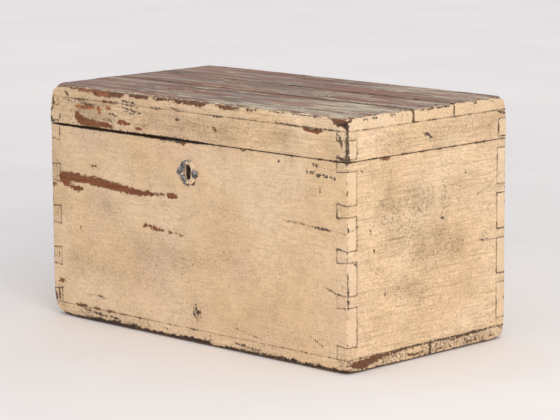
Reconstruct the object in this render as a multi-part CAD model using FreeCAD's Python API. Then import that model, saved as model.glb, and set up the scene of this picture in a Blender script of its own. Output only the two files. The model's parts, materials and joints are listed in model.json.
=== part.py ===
"""Dovetailed wooden money box with a hinged lid, a bolt lock and butt hinges.

Millimetres. +Z is up and the front faces -Y. The origin is the middle of the box's footprint, on the
surface that it stands on. Every piece is one node, written to parts/NODE.step.
"""

import FreeCAD
import Part
import math
import os
from collections import namedtuple

V = FreeCAD.Vector
X_AXIS, Y_AXIS, Z_AXIS = V(1, 0, 0), V(0, 1, 0), V(0, 0, 1)

# Box and boards
box_length = 390.0
box_depth = 212.0
side_thickness = 12.0
end_thickness = 12.5
bottom_thickness = 13.0
wall_height = 173.5
rail_height = 26.4
top_thickness = 12.0
lid_gap = 0.6
lid_overhang = 0.7

# Worn arrises
corner_wear = 1.5
top_edge_radius = 5.0
bottom_edge_radius = 4.5

# Dovetails. Pin heights are those at the shoulder, where a pin is tallest.
front_right_top_half_pin = 9.3
front_right_pin = 12.6
front_right_bottom_half_pin = 12.3
front_right_lowest_tail_extra = 5.6
front_left_top_half_pin = 15.2
front_left_pin = 18.0
front_left_bottom_half_pin = 14.0
back_half_pin = 9.0
back_pin = 10.9
lid_top_half_pin = 8.8
lid_bottom_half_pin = 3.4
wall_pin_count = 3
tail_slope = 8.0
joint_gap = 0.15

# Planks of the lid and of the bottom, measured from the front face
lid_front_plank_width = 84.5
lid_middle_plank_width = 54.0
lid_front_joint_gap = 0.8
lid_rear_joint_gap = 0.4
bottom_front_plank_width = 108.0
bottom_joint_gap = 0.5

# Cut brads through the planks, square and tapered, punched a little below the surface
nail_head = 3.0
nail_tip = 1.0
nail_length = 28.0
nail_set = 0.4
nail_edge_distance = 7.5
nail_corner_distance = 30.0
nails_along_side = 4
nail_plank_margin = 16.0

# Small sprigs, driven flush through the lock's plates and the escutcheon
sprig_head = 2.6
sprig_tip = 0.8
sprig_length = 8.0
escutcheon_sprig_head = 2.0
escutcheon_sprig_tip = 0.8
escutcheon_sprig_length = 3.6

# Hinges
hinge_length = 50.0
hinge_end_distance = 75.0
leaf_width = 10.0
leaf_thickness = 1.2
knuckle_radius = 2.5
knuckle_count = 3
knuckle_gap = 0.2
knuckle_stand_off = 0.3
hinge_pin_radius = 1.2
hinge_pin_clearance = 0.05
leaf_fit = 0.1

# Wood screws of the hinges, with heads as deep as the leaf
screw_head_radius = 2.4
screw_shank_radius = 1.1
screw_length = 9.0
screws_per_leaf = 2

# Lock
lock_offset = -4.0
keyhole_drop = 28.3
plate_flange = 7.0
plate_foot = 4.6
plate_thickness = 1.4
selvedge_lip = 0.8
case_length = 52.0
case_height = 40.0
case_depth = 6.8
case_wall = 1.0
lock_fit = 0.2
keyhole_width = 8.5
keyhole_height = 14.5
case_keyhole_radius = 3.0
case_keyhole_slot_width = 3.0
case_keyhole_slot_length = 8.0
drill_pin_radius = 1.5
drill_pin_length = 6.2
drill_pin_rise = 2.0
guide_stud_radius = 1.5

# Bolt, from the keyhole's centre line and from the top of the front board
bolt_thickness = 3.7
bolt_clearance = 0.15
bolt_end_gap = 1.5
bolt_top_drop = 13.0
bolt_height = 8.0
arm_left = 2.0
arm_width = 6.0
arm_top_drop = 3.6
arm_clearance = 0.8
finger_past = 0.8
finger_height = 3.8
finger_thickness = 1.8
finger_top_drop = 4.4
slot_end_wall = 3.35
talon_width = 7.0
talon_depth = 3.5
talon_left = 5.5
spring_thickness = 0.7
spring_width = 3.0
spring_seat_length = 7.0
spring_end_length = 3.0

# Link plate of the lid, with its loop
loop_gap = 0.7
loop_width = 5.0
loop_strap = 1.1
loop_bar = 1.8
loop_reach = 10.4
loop_depth = 4.6
loop_slot_clearance = 0.5
link_length = 36.0
link_width = 8.3
link_thickness = 1.2
link_sprig_spacing = 28.0

# Escutcheon
escutcheon_radius = 11.75
escutcheon_ear_reach = 15.5
escutcheon_ear_height = 17.0
escutcheon_thickness = 1.2
escutcheon_sprig_reach = 13.2

# Levels and faces that the pieces share
wall_bottom = bottom_thickness
wall_top = wall_bottom + wall_height
rail_bottom = wall_top + lid_gap
rail_top = rail_bottom + rail_height
lid_top = rail_top + top_thickness
half_length = box_length / 2
half_depth = box_depth / 2
lid_half_length = half_length + lid_overhang
lid_front = -half_depth - lid_overhang
lid_back = half_depth
front_inner = -half_depth + side_thickness
rail_inner = lid_front + side_thickness
hinge_axis_y = half_depth + knuckle_stand_off + knuckle_radius
hinge_axis_z = wall_top + lid_gap / 2
hinge_centres = (-half_length + hinge_end_distance, half_length - hinge_end_distance)
plate_length = case_length + 2 * plate_flange
plate_height = plate_thickness + case_height + plate_foot
selvedge_depth = plate_thickness + case_depth + selvedge_lip
plate_face = front_inner - plate_thickness
case_front = plate_face - case_depth
lock_mid = plate_face - (case_depth - case_wall) / 2
escutcheon_z = wall_top - keyhole_drop
key_z = escutcheon_z + drill_pin_rise
bolt_back = plate_face - bolt_clearance
bolt_front = bolt_back - bolt_thickness
bolt_travel = loop_gap + loop_width + finger_past
bolt_left = case_length / 2 - case_wall - bolt_end_gap
stud_slot_radius = guide_stud_radius + bolt_clearance
guide_stud_left = bolt_left - slot_end_wall - stud_slot_radius - bolt_travel
finger_length = bolt_travel - loop_gap + arm_clearance
finger_end = lock_offset + arm_left + arm_width + finger_length
loop_left = finger_end + loop_gap
loop_centre = loop_left + loop_width / 2

Corner = namedtuple("Corner", "top_half_pin pin bottom_half_pin lowest_tail_extra count")
front_right_corner = Corner(
    front_right_top_half_pin,
    front_right_pin,
    front_right_bottom_half_pin,
    front_right_lowest_tail_extra,
    wall_pin_count,
)
front_left_corner = Corner(
    front_left_top_half_pin,
    front_left_pin,
    front_left_bottom_half_pin,
    0,
    wall_pin_count,
)
back_corner = Corner(back_half_pin, back_pin, back_half_pin, 0, wall_pin_count)
lid_corner = Corner(lid_top_half_pin, 0, lid_bottom_half_pin, 0, 0)

Brad = namedtuple("Brad", "head tip length sunk")
plank_brad = Brad(nail_head, nail_tip, nail_length, nail_set)
lock_sprig = Brad(sprig_head, sprig_tip, sprig_length, 0)
escutcheon_sprig = Brad(escutcheon_sprig_head, escutcheon_sprig_tip, escutcheon_sprig_length, 0)


def block(x0, x1, y0, y1, z0, z1):
    """A box between two corners."""
    return Part.makeBox(x1 - x0, y1 - y0, z1 - z0, V(x0, y0, z0))


def prism_xz(points, y0, y1):
    """A closed outline in XZ, extruded from y0 to y1."""
    corners = [V(x, y0, z) for x, z in points]
    face = Part.Face(Part.makePolygon(corners + corners[:1]))
    return face.extrude(V(0, y1 - y0, 0))


def rod(radius, start, direction, length):
    return Part.makeCylinder(radius, length, start, direction)


def spread(first, last, count):
    """Evenly spaced places from first to last."""
    step = (last - first) / (count - 1)
    return [first + step * i for i in range(count)]


def joined(solids):
    """Solids that touch, as one solid with no seams."""
    whole = solids[0].fuse(solids[1:]) if len(solids) > 1 else solids[0]
    return whole.removeSplitter()


def without(solid, tools):
    """A solid less every tool that reaches it."""
    return solid.cut(tools).removeSplitter() if tools else solid


def upright_edges(solid):
    return [e for e in solid.Edges if abs(e.tangentAt(e.FirstParameter).z) > 0.999]


def edges_at_level(solid, z):
    return [e for e in solid.Edges if max(abs(e.BoundBox.ZMin - z), abs(e.BoundBox.ZMax - z)) < 1e-6]


# Dovetails


def pin_spans(corner, bottom, top):
    """Shoulder heights of a corner's pins, from the bottom half pin to the top one."""
    free = top - bottom - corner.top_half_pin - corner.bottom_half_pin
    tail = (free - corner.count * corner.pin - corner.lowest_tail_extra) / (corner.count + 1)
    spans = [(bottom, bottom + corner.bottom_half_pin)]
    low = spans[0][1] + corner.lowest_tail_extra
    for _ in range(corner.count):
        low += tail
        spans.append((low, low + corner.pin))
        low += corner.pin
    spans.append((top - corner.top_half_pin, top))
    return spans


def pin_prism(span, bottom, top, shoulder, outer, y0, y1, grow=0.0):
    """One pin, narrowing from its shoulder to the outer face. Grown, it is the socket for that pin."""
    low, high = span
    flare = abs(outer - shoulder) / tail_slope
    low_flare = flare if low > bottom else 0.0
    high_flare = flare if high < top else 0.0
    low_grow = grow if low > bottom else 0.0
    high_grow = grow if high < top else 0.0
    base = shoulder - math.copysign(grow, outer)
    outline = [
        (base, low - low_grow),
        (shoulder, low - low_grow),
        (outer, low + low_flare - low_grow),
        (outer, high - high_flare + high_grow),
        (shoulder, high + high_grow),
        (base, high + high_grow),
    ]
    if grow == 0.0:
        outline = outline[1:5]
    return prism_xz(outline, y0, y1)


def corner_pins(corner, bottom, top, shoulder, outer, y0, y1, grow=0.0):
    spans = pin_spans(corner, bottom, top)
    return [pin_prism(s, bottom, top, shoulder, outer, y0, y1, grow) for s in spans]


def worn_envelope(x_half, front, back, bottom, top):
    """The outside of four boards, with worn upright corners."""
    whole = block(-x_half, x_half, front, back, bottom, top)
    return whole.makeChamfer(corner_wear, upright_edges(whole))


def tail_board(envelope, x_half, y0, y1, bottom, top, left, right):
    """A long board with tails at both ends, fitted round the pins of two corners."""
    board = block(-x_half, x_half, y0, y1, bottom, top)
    shoulder = x_half - end_thickness
    sockets = corner_pins(left, bottom, top, -shoulder, -x_half, y0, y1, joint_gap)
    sockets += corner_pins(right, bottom, top, shoulder, x_half, y0, y1, joint_gap)
    return without(board, sockets).common(envelope)


def pin_board(envelope, side, x_half, front, back, bottom, top, front_corner, rear_corner):
    """An end board with pins at both ends. side is -1 on the left and 1 on the right."""
    shoulder, outer = side * (x_half - end_thickness), side * x_half
    x0, x1 = min(shoulder, outer), max(shoulder, outer)
    inner_front, inner_back = front + side_thickness + joint_gap, back - side_thickness - joint_gap
    pieces = [block(x0, x1, inner_front, inner_back, bottom, top)]
    pieces += corner_pins(front_corner, bottom, top, shoulder, outer, front, inner_front)
    pieces += corner_pins(rear_corner, bottom, top, shoulder, outer, inner_back, back)
    return joined(pieces).common(envelope)


# Brads and sprigs


def driven(solid, place, out):
    """A copy of a fastener made along -Z, set at a place with its head facing along out."""
    copy = solid.copy()
    copy.Placement = FreeCAD.Placement(place, FreeCAD.Rotation(Z_AXIS, out)).multiply(copy.Placement)
    return copy


def brad_taper(brad, depth):
    """The square taper of a brad along -Z, from a depth below the surface to its tip."""
    head = (brad.head + (brad.tip - brad.head) * depth / brad.length) / 2
    tip = brad.tip / 2
    taper = Part.makeWedge(-head, depth, -head, -tip, -tip, head, brad.length, head, tip, tip)
    taper.rotate(V(0, 0, 0), X_AXIS, -90)
    return taper


def brad_set(brad, places, out):
    """The brads at those places, and the holes that they fill up to the surface."""
    brads = [driven(brad_taper(brad, brad.sunk), p, out) for p in places]
    holes = [driven(brad_taper(brad, 0), p, out) for p in places]
    return brads, holes


def nail_places(x_half, front, back, z, plank_edges):
    """Nails along both long sides, and two at each end of every plank."""
    long_run = spread(-x_half + nail_corner_distance, x_half - nail_corner_distance, nails_along_side)
    places = [V(x, front + nail_edge_distance, z) for x in long_run]
    places += [V(x, back - nail_edge_distance, z) for x in long_run]
    for low, high in plank_edges:
        for y in (low + nail_plank_margin, high - nail_plank_margin):
            places += [V(side * (x_half - nail_edge_distance), y, z) for side in (-1, 1)]
    return places


# Wood screws


def screw_set(places, out):
    """The screws at those places. Each also cuts the hole that it fills."""
    head = rod(screw_head_radius, V(0, 0, -leaf_thickness), Z_AXIS, leaf_thickness)
    shank = rod(screw_shank_radius, V(0, 0, -screw_length), Z_AXIS, screw_length - leaf_thickness)
    screw = joined([head, shank])
    return [driven(screw, p, out) for p in places]


# Butt hinges


def leaf_screw_places(centre, z):
    margin = hinge_length / (2 * screws_per_leaf)
    run = spread(centre - hinge_length / 2 + margin, centre + hinge_length / 2 - margin, screws_per_leaf)
    return [V(x, half_depth - leaf_width / 2, z) for x in run]


def knuckle_spans(centre):
    length = hinge_length / knuckle_count
    start = centre - hinge_length / 2
    return [(start + i * length, start + (i + 1) * length) for i in range(knuckle_count)]


def barrel(x0, x1, radius):
    return rod(radius, V(x0, hinge_axis_y, hinge_axis_z), X_AXIS, x1 - x0)


def hinge_leaf(centre, on_lid, holes):
    """A leaf let into a board's edge, with its share of the knuckles."""
    z0, z1 = (rail_bottom, rail_bottom + leaf_thickness) if on_lid else (wall_top - leaf_thickness, wall_top)
    x0, x1 = centre - hinge_length / 2, centre + hinge_length / 2
    pieces = [block(x0, x1, half_depth - leaf_width, hinge_axis_y, z0, z1)]
    gaps = []
    for i, (a, b) in enumerate(knuckle_spans(centre)):
        if (i % 2 == 1) == on_lid:
            pieces.append(barrel(a + knuckle_gap / 2, b - knuckle_gap / 2, knuckle_radius))
        else:
            gaps.append(block(a - knuckle_gap / 2, b + knuckle_gap / 2, half_depth, hinge_axis_y, z0, z1))
    gaps.append(barrel(x0 - 1, x1 + 1, hinge_pin_radius + hinge_pin_clearance))
    return without(joined(pieces), gaps + holes)


def hinge_recess(centre, on_lid):
    """The shallow seat of a leaf in its board."""
    z0, z1 = (rail_bottom, rail_bottom + leaf_thickness) if on_lid else (wall_top - leaf_thickness, wall_top)
    reach = hinge_length / 2 + leaf_fit
    return block(centre - reach, centre + reach, half_depth - leaf_width - leaf_fit, half_depth, z0, z1)


def hinge_pin(centre):
    return barrel(centre - hinge_length / 2, centre + hinge_length / 2, hinge_pin_radius)


# Lock in the front board


def oval_keyhole(y0, y1):
    """The upright round-ended hole of the escutcheon and the front board."""
    half = keyhole_height / 2 - keyhole_width / 2
    radius = keyhole_width / 2
    left, right = lock_offset - radius, lock_offset + radius
    middle = block(left, right, y0, y1, escutcheon_z - half, escutcheon_z + half)
    ends = [rod(radius, V(lock_offset, y0, escutcheon_z + s * half), Y_AXIS, y1 - y0) for s in (-1, 1)]
    return joined([middle] + ends)


def lock_plate(holes):
    """A plate bent over the top edge, where its selvedge has the slot for the lid's loop."""
    x0, x1 = lock_offset - plate_length / 2, lock_offset + plate_length / 2
    upright = block(x0, x1, plate_face, front_inner, wall_top - plate_height, wall_top)
    selvedge = block(x0, x1, front_inner - selvedge_depth, front_inner, wall_top - plate_thickness, wall_top)
    side = loop_width / 2 + loop_slot_clearance
    reach = loop_depth / 2 + loop_slot_clearance
    slot = block(
        loop_centre - side,
        loop_centre + side,
        lock_mid - reach,
        lock_mid + reach,
        wall_top - plate_thickness,
        wall_top,
    )
    return without(joined([upright, selvedge]), [slot] + holes)


def lock_case():
    """The shallow tray behind the plate, with the key's hole in its front."""
    x0, x1 = lock_offset - case_length / 2, lock_offset + case_length / 2
    z1 = wall_top - plate_thickness
    z0 = z1 - case_height
    tray = block(x0, x1, case_front, plate_face, z0, z1)
    inside = block(x0 + case_wall, x1 - case_wall, case_front + case_wall, plate_face, z0 + case_wall, z1)
    slot_half = case_keyhole_slot_width / 2
    key_round = rod(case_keyhole_radius, V(lock_offset, case_front, key_z), Y_AXIS, case_wall)
    key_slot = block(
        lock_offset - slot_half,
        lock_offset + slot_half,
        case_front,
        case_front + case_wall,
        key_z - case_keyhole_slot_length,
        key_z,
    )
    return without(tray, [inside, key_round, key_slot])


def drill_pin():
    """The pin that a pipe key turns on, standing on the plate."""
    return rod(drill_pin_radius, V(lock_offset, plate_face, key_z), -Y_AXIS, drill_pin_length)


def guide_stud():
    """The stud that the bolt's slot slides on, standing on the plate."""
    middle = wall_top - bolt_top_drop - bolt_height / 2
    start = V(lock_offset - guide_stud_left, plate_face, middle)
    return rod(guide_stud_radius, start, -Y_AXIS, bolt_clearance + bolt_thickness)


def lock_bolt():
    """The sliding bolt: a bar with a talon for the key and an arm whose finger enters the loop."""
    bar_top = wall_top - bolt_top_drop
    bar_bottom = bar_top - bolt_height
    arm_right = lock_offset + arm_left + arm_width
    bar = block(lock_offset - bolt_left, arm_right, bolt_front, bolt_back, bar_bottom, bar_top)
    arm = block(lock_offset + arm_left, arm_right, bolt_front, bolt_back, bar_bottom, wall_top - arm_top_drop)
    finger_top = wall_top - finger_top_drop
    finger = block(
        lock_offset + arm_left,
        finger_end,
        lock_mid - finger_thickness / 2,
        lock_mid + finger_thickness / 2,
        finger_top - finger_height,
        finger_top,
    )
    talon = block(
        lock_offset - talon_left,
        lock_offset - talon_left + talon_width,
        bolt_front,
        bolt_back,
        bar_bottom,
        bar_bottom + talon_depth,
    )
    slot_z = bar_top - bolt_height / 2
    slot_low, slot_high = slot_z - stud_slot_radius, slot_z + stud_slot_radius
    slot_right = lock_offset - guide_stud_left
    slot_left = slot_right - bolt_travel
    slot = joined(
        [
            block(slot_left, slot_right, bolt_front, bolt_back, slot_low, slot_high),
            rod(stud_slot_radius, V(slot_left, bolt_front, slot_z), Y_AXIS, bolt_thickness),
            rod(stud_slot_radius, V(slot_right, bolt_front, slot_z), Y_AXIS, bolt_thickness),
        ]
    )
    return without(joined([bar, arm, finger]), [talon, slot])


def bolt_spring():
    """The back spring: a bent strip on the bolt that bears up against the selvedge."""
    seat = wall_top - bolt_top_drop
    tip = wall_top - plate_thickness - bolt_clearance * 2 - spring_thickness
    left = lock_offset - bolt_left
    bend = left + spring_seat_length
    end = lock_offset + arm_left - spring_thickness * 2
    rise = end - spring_end_length
    outline = [
        (left, seat),
        (bend, seat),
        (rise, tip),
        (end, tip),
        (end, tip + spring_thickness),
        (rise - spring_thickness / 2, tip + spring_thickness),
        (bend - spring_thickness / 2, seat + spring_thickness),
        (left, seat + spring_thickness),
    ]
    middle = (bolt_front + bolt_back) / 2
    return prism_xz(outline, middle - spring_width / 2, middle + spring_width / 2)


def link_plate(holes):
    """The plate under the lid's front rail, with the loop that the bolt's finger passes through."""
    x0, x1 = loop_centre - link_length / 2, loop_centre + link_length / 2
    seat = rail_bottom + link_thickness
    plate = block(x0, x1, rail_inner - link_width, rail_inner, rail_bottom, seat)
    y0, y1 = lock_mid - loop_depth / 2, lock_mid + loop_depth / 2
    loop = block(loop_left, loop_left + loop_width, y0, y1, wall_top - loop_reach, rail_bottom)
    window = block(
        loop_left,
        loop_left + loop_width,
        y0 + loop_strap,
        y1 - loop_strap,
        wall_top - loop_reach + loop_bar,
        rail_bottom,
    )
    return without(joined([plate, without(loop, [window])]), holes)


def link_recess():
    reach = link_length / 2 + lock_fit
    y0 = rail_inner - link_width - lock_fit
    seat = rail_bottom + link_thickness
    return block(loop_centre - reach, loop_centre + reach, y0, rail_inner, rail_bottom, seat)


def link_sprig_places():
    middle = rail_inner - link_width / 2
    return [V(loop_centre + s * link_sprig_spacing / 2, middle, rail_bottom) for s in (-1, 1)]


def lock_recesses():
    """What is cut from the front board for the plate, its selvedge and the case."""
    reach = plate_length / 2 + lock_fit
    case_reach = case_length / 2 + lock_fit
    recess_foot = wall_top - plate_height - lock_fit
    case_foot = wall_top - plate_thickness - case_height - lock_fit
    selvedge_front = front_inner - selvedge_depth - lock_fit
    return [
        block(lock_offset - reach, lock_offset + reach, plate_face, front_inner, recess_foot, wall_top),
        block(
            lock_offset - reach,
            lock_offset + reach,
            selvedge_front,
            front_inner,
            wall_top - plate_thickness,
            wall_top,
        ),
        block(
            lock_offset - case_reach,
            lock_offset + case_reach,
            case_front - lock_fit,
            front_inner,
            case_foot,
            wall_top,
        ),
        oval_keyhole(-half_depth, case_front),
    ]


def lock_sprig_places():
    """One sprig in each corner of the plate, beside the case."""
    across = plate_length / 2 - plate_flange / 2
    low = wall_top - plate_height + plate_flange
    high = wall_top - plate_thickness - plate_flange
    return [V(lock_offset + s * across, front_inner, z) for s in (-1, 1) for z in (low, high)]


# Escutcheon


def escutcheon(holes):
    """A round plate with two pointed ears, pierced by the keyhole."""
    centre = V(lock_offset, -half_depth, escutcheon_z)
    half_height = escutcheon_ear_height / 2
    ear_radius = (escutcheon_ear_reach**2 + half_height**2) / (2 * half_height)
    sag = V(0, 0, ear_radius - half_height)
    disc = rod(escutcheon_radius, centre, -Y_AXIS, escutcheon_thickness)
    upper = rod(ear_radius, centre - sag, -Y_AXIS, escutcheon_thickness)
    lower = rod(ear_radius, centre + sag, -Y_AXIS, escutcheon_thickness)
    keyhole = oval_keyhole(-half_depth - escutcheon_thickness, -half_depth)
    return without(joined([disc, upper.common(lower)]), [keyhole] + holes)


def escutcheon_sprig_places():
    """One sprig in each ear."""
    face = -half_depth - escutcheon_thickness
    return [V(lock_offset + s * escutcheon_sprig_reach, face, escutcheon_z) for s in (-1, 1)]


# Planks of the lid and of the bottom


def lid_slab():
    slab = block(-lid_half_length, lid_half_length, lid_front, lid_back, rail_top, lid_top)
    return slab.makeFillet(top_edge_radius, edges_at_level(slab, lid_top))


def bottom_slab():
    slab = block(-half_length, half_length, -half_depth, half_depth, 0, bottom_thickness)
    return slab.makeFillet(bottom_edge_radius, edges_at_level(slab, 0))


def strip_of(slab, y0, y1):
    """The part of a slab between two joints."""
    box = slab.BoundBox
    return slab.common(block(box.XMin, box.XMax, y0, y1, box.ZMin, box.ZMax))


def lid_plank_edges():
    first = lid_front + lid_front_plank_width
    second = first + lid_front_joint_gap + lid_middle_plank_width
    return [
        (lid_front, first),
        (first + lid_front_joint_gap, second),
        (second + lid_rear_joint_gap, lid_back),
    ]


def bottom_plank_edges():
    joint = -half_depth + bottom_front_plank_width
    return [(-half_depth, joint), (joint + bottom_joint_gap, half_depth)]


def case_boards():
    """The four dovetailed walls before anything is let into them."""
    levels = (wall_bottom, wall_top)
    outside = worn_envelope(half_length, -half_depth, half_depth, *levels)
    fronts = (front_left_corner, front_right_corner)
    backs = (back_corner, back_corner)
    boards = {
        "front": tail_board(outside, half_length, -half_depth, front_inner, *levels, *fronts),
        "back": tail_board(outside, half_length, -front_inner, half_depth, *levels, *backs),
    }
    for name, side, corner in (("left", -1, front_left_corner), ("right", 1, front_right_corner)):
        ends = (-half_depth, half_depth)
        boards[name] = pin_board(outside, side, half_length, *ends, *levels, corner, back_corner)
    return boards


def lid_rails():
    """The four dovetailed rails of the lid."""
    levels = (rail_bottom, rail_top)
    corners = (lid_corner, lid_corner)
    back_inside = lid_back - side_thickness
    outside = worn_envelope(lid_half_length, lid_front, lid_back, *levels)
    rails = {
        "front": tail_board(outside, lid_half_length, lid_front, rail_inner, *levels, *corners),
        "back": tail_board(outside, lid_half_length, back_inside, lid_back, *levels, *corners),
    }
    for name, side in (("left", -1), ("right", 1)):
        rails[name] = pin_board(outside, side, lid_half_length, lid_front, lid_back, *levels, *corners)
    return rails


def case_nodes():
    """The walls, the bottom, the lock and the hinges' fixed halves."""
    places = nail_places(half_length, -half_depth, half_depth, 0, bottom_plank_edges())
    brads, brad_holes = brad_set(plank_brad, places, -Z_AXIS)
    lock_sprigs, lock_holes = brad_set(lock_sprig, lock_sprig_places(), Y_AXIS)
    face_sprigs, face_holes = brad_set(escutcheon_sprig, escutcheon_sprig_places(), -Y_AXIS)
    leaf_screws = screw_set([p for c in hinge_centres for p in leaf_screw_places(c, wall_top)], Z_AXIS)
    recesses = [hinge_recess(c, False) for c in hinge_centres]
    boards = case_boards()
    nodes = {
        "front_board": without(boards["front"], lock_recesses() + lock_holes + face_holes + brad_holes),
        "back_board": without(boards["back"], recesses + leaf_screws + brad_holes),
        "left_end_board": without(boards["left"], brad_holes),
        "right_end_board": without(boards["right"], brad_holes),
        "bottom_nails": brads,
        "escutcheon": escutcheon(face_holes),
        "escutcheon_sprigs": face_sprigs,
        "lock_plate": lock_plate(lock_holes),
        "lock_case": lock_case(),
        "lock_bolt": lock_bolt(),
        "bolt_spring": bolt_spring(),
        "drill_pin": drill_pin(),
        "bolt_guide_stud": guide_stud(),
        "lock_sprigs": lock_sprigs,
        "hinge_body_screws": leaf_screws,
    }
    slab = bottom_slab()
    for name, (y0, y1) in zip(("front", "rear"), bottom_plank_edges()):
        nodes[f"bottom_{name}_plank"] = without(strip_of(slab, y0, y1), brad_holes)
    for name, centre in zip(("left", "right"), hinge_centres):
        nodes[f"{name}_hinge_body_leaf"] = hinge_leaf(centre, False, leaf_screws)
        nodes[f"{name}_hinge_pin"] = hinge_pin(centre)
    return nodes


def lid_nodes():
    """The lid's frame and planks, the link plate and the hinges' moving halves."""
    places = nail_places(lid_half_length, lid_front, lid_back, lid_top, lid_plank_edges())
    brads, brad_holes = brad_set(plank_brad, places, Z_AXIS)
    link_sprigs, link_holes = brad_set(lock_sprig, link_sprig_places(), -Z_AXIS)
    leaf_screws = screw_set([p for c in hinge_centres for p in leaf_screw_places(c, rail_bottom)], -Z_AXIS)
    recesses = [hinge_recess(c, True) for c in hinge_centres]
    rails = lid_rails()
    nodes = {
        "lid_front_rail": without(rails["front"], [link_recess()] + link_holes + brad_holes),
        "lid_back_rail": without(rails["back"], recesses + leaf_screws + brad_holes),
        "lid_left_rail": without(rails["left"], brad_holes),
        "lid_right_rail": without(rails["right"], brad_holes),
        "lid_nails": brads,
        "link_plate": link_plate(link_holes),
        "link_plate_sprigs": link_sprigs,
        "hinge_lid_screws": leaf_screws,
    }
    slab = lid_slab()
    for name, (y0, y1) in zip(("front", "middle", "rear"), lid_plank_edges()):
        nodes[f"lid_{name}_plank"] = without(strip_of(slab, y0, y1), brad_holes)
    for name, centre in zip(("left", "right"), hinge_centres):
        nodes[f"{name}_hinge_lid_leaf"] = hinge_leaf(centre, True, leaf_screws)
    return nodes


def export(nodes):
    os.makedirs("parts", exist_ok=True)
    for name, shape in nodes.items():
        solids = shape if isinstance(shape, list) else shape.Solids
        whole = solids[0] if len(solids) == 1 else Part.makeCompound(solids)
        whole.exportStep(f"parts/{name}.step")


export(case_nodes())
export(lid_nodes())
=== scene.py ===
"""Dresses the dovetailed money box: flaked cream paint, a weathered top, rusted lock and hinges.

It also lays the floor and sets the light and the camera.
"""

import functools
import itertools
import json
import math
from collections import namedtuple

import bmesh
import bpy
import numpy as np
from bpy.props import FloatProperty, FloatVectorProperty, PointerProperty
from mathutils import Matrix, Vector, kdtree

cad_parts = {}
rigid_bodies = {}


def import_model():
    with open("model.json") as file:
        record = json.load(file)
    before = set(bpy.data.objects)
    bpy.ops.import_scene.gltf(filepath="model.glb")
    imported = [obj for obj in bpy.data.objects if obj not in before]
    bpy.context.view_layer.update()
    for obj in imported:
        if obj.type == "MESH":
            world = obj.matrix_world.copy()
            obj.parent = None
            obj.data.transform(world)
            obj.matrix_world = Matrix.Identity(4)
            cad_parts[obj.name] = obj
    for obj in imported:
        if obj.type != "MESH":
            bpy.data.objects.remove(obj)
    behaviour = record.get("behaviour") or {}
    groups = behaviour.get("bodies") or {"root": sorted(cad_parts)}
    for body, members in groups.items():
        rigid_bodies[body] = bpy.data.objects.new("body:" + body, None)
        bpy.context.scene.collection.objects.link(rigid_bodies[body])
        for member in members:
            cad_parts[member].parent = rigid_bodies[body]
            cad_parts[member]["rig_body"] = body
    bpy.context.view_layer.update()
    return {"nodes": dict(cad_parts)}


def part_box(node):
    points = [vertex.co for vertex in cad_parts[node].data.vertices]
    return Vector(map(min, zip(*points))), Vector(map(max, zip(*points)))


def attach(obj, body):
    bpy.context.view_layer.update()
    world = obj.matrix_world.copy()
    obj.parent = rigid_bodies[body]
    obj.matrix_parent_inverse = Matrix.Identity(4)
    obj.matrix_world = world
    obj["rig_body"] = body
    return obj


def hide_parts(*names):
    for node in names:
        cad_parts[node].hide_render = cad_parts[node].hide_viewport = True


bl_info = {
    "name": "Painted money box",
    "version": (1, 0, 0),
    "blender": (4, 5, 0),
    "location": "View3D > Sidebar > Money Box",
    "description": "Dresses a dovetailed money box with flaked paint, weathered planks and rusted iron",
    "category": "Object",
}

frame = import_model()

MM = 0.001
X, Y, Z = range(3)

# Grain: how many times longer than wide the streaks are along each axis
EVEN = (1.0, 1.0, 1.0)
ALONG_X = (22.0, 1.0, 1.0)
ALONG_Y = (1.0, 22.0, 1.0)
UPRIGHT = (1.0, 1.0, 8.0)

# Tolerances, in metres
WELD = 1e-6
ON_FACE = 0.02 * MM
AT_TOOL_FACE = 0.01 * MM

# Numbers that scramble a place into a random value
SEED_STEP = 17.31
SHUFFLE_AXES = (73856093, 19349663, 83492791)
SHUFFLE = 1274126177
SHUFFLE_TOP = 0x7FFFFFFF

# Depths inside a mark, in millimetres: none near, and the most that is stored either way
UNMARKED = -20.0
DEEPEST = 6

# Width of the dirty line beside a joint, and of the front of the keyhole's wall, behind which shade is
# painted
JOINT_LINE = 1.6 * MM
UNSHADED_HOLE_EDGE = 1 * MM

# How many times longer than wide the furrows of the lid's top are along each axis
FURROW_STRETCH = (30, 1, 1)

# How far sounder paint, with less of the foot's painted shade, reaches from the front left corner of the
# foot, in metres, and how much of the foot's rubbing and painted shade the ends show
SOUND_CORNER = (0.045, 0.06, 1)
END_FOOT_SHARE = 0.35

# Where the worn front of the seam opens, widens and closes again along x, and where along y it counts as
# the front and fades in, in metres
SEAM_OPENS = (-0.194, -0.178)
SEAM_WIDENS = (-0.12, -0.04)
SEAM_CLOSES = (0.0, 0.03)
SEAM_FRONT = -0.09
SEAM_FRONT_FADE = (0.096, 0.104)

# Where the finishes change, in metres: freshly bared wood on the lid's front, the crackled ends of the
# foot, the ends where its painted shade sits lower, its underside, end grain, more remnants of paint on the
# top, and the paler far floor
FRESH_LEFT_OF = (-0.085, -0.1)
FRESH_ABOVE = (0.199, 0.204)
CRACKLED_ENDS = (0.19, 0.194)
FOOT_SHADE_ENDS = (0.188, 0.194)
UNDER_FOOT = (2.2 * MM, 1.0 * MM)
END_GRAIN = (0.1935, 0.1946)
REMNANTS_TO_FRONT = (-0.02, -0.1)
REMNANTS_TO_RIGHT = (-0.06, 0.19)
FAR_FLOOR = (0.4, 2.0)

# Turn of the first screw's slot, and of each next one against the last, in degrees
FIRST_SLOT = 25
NEXT_SLOT = 67

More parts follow.
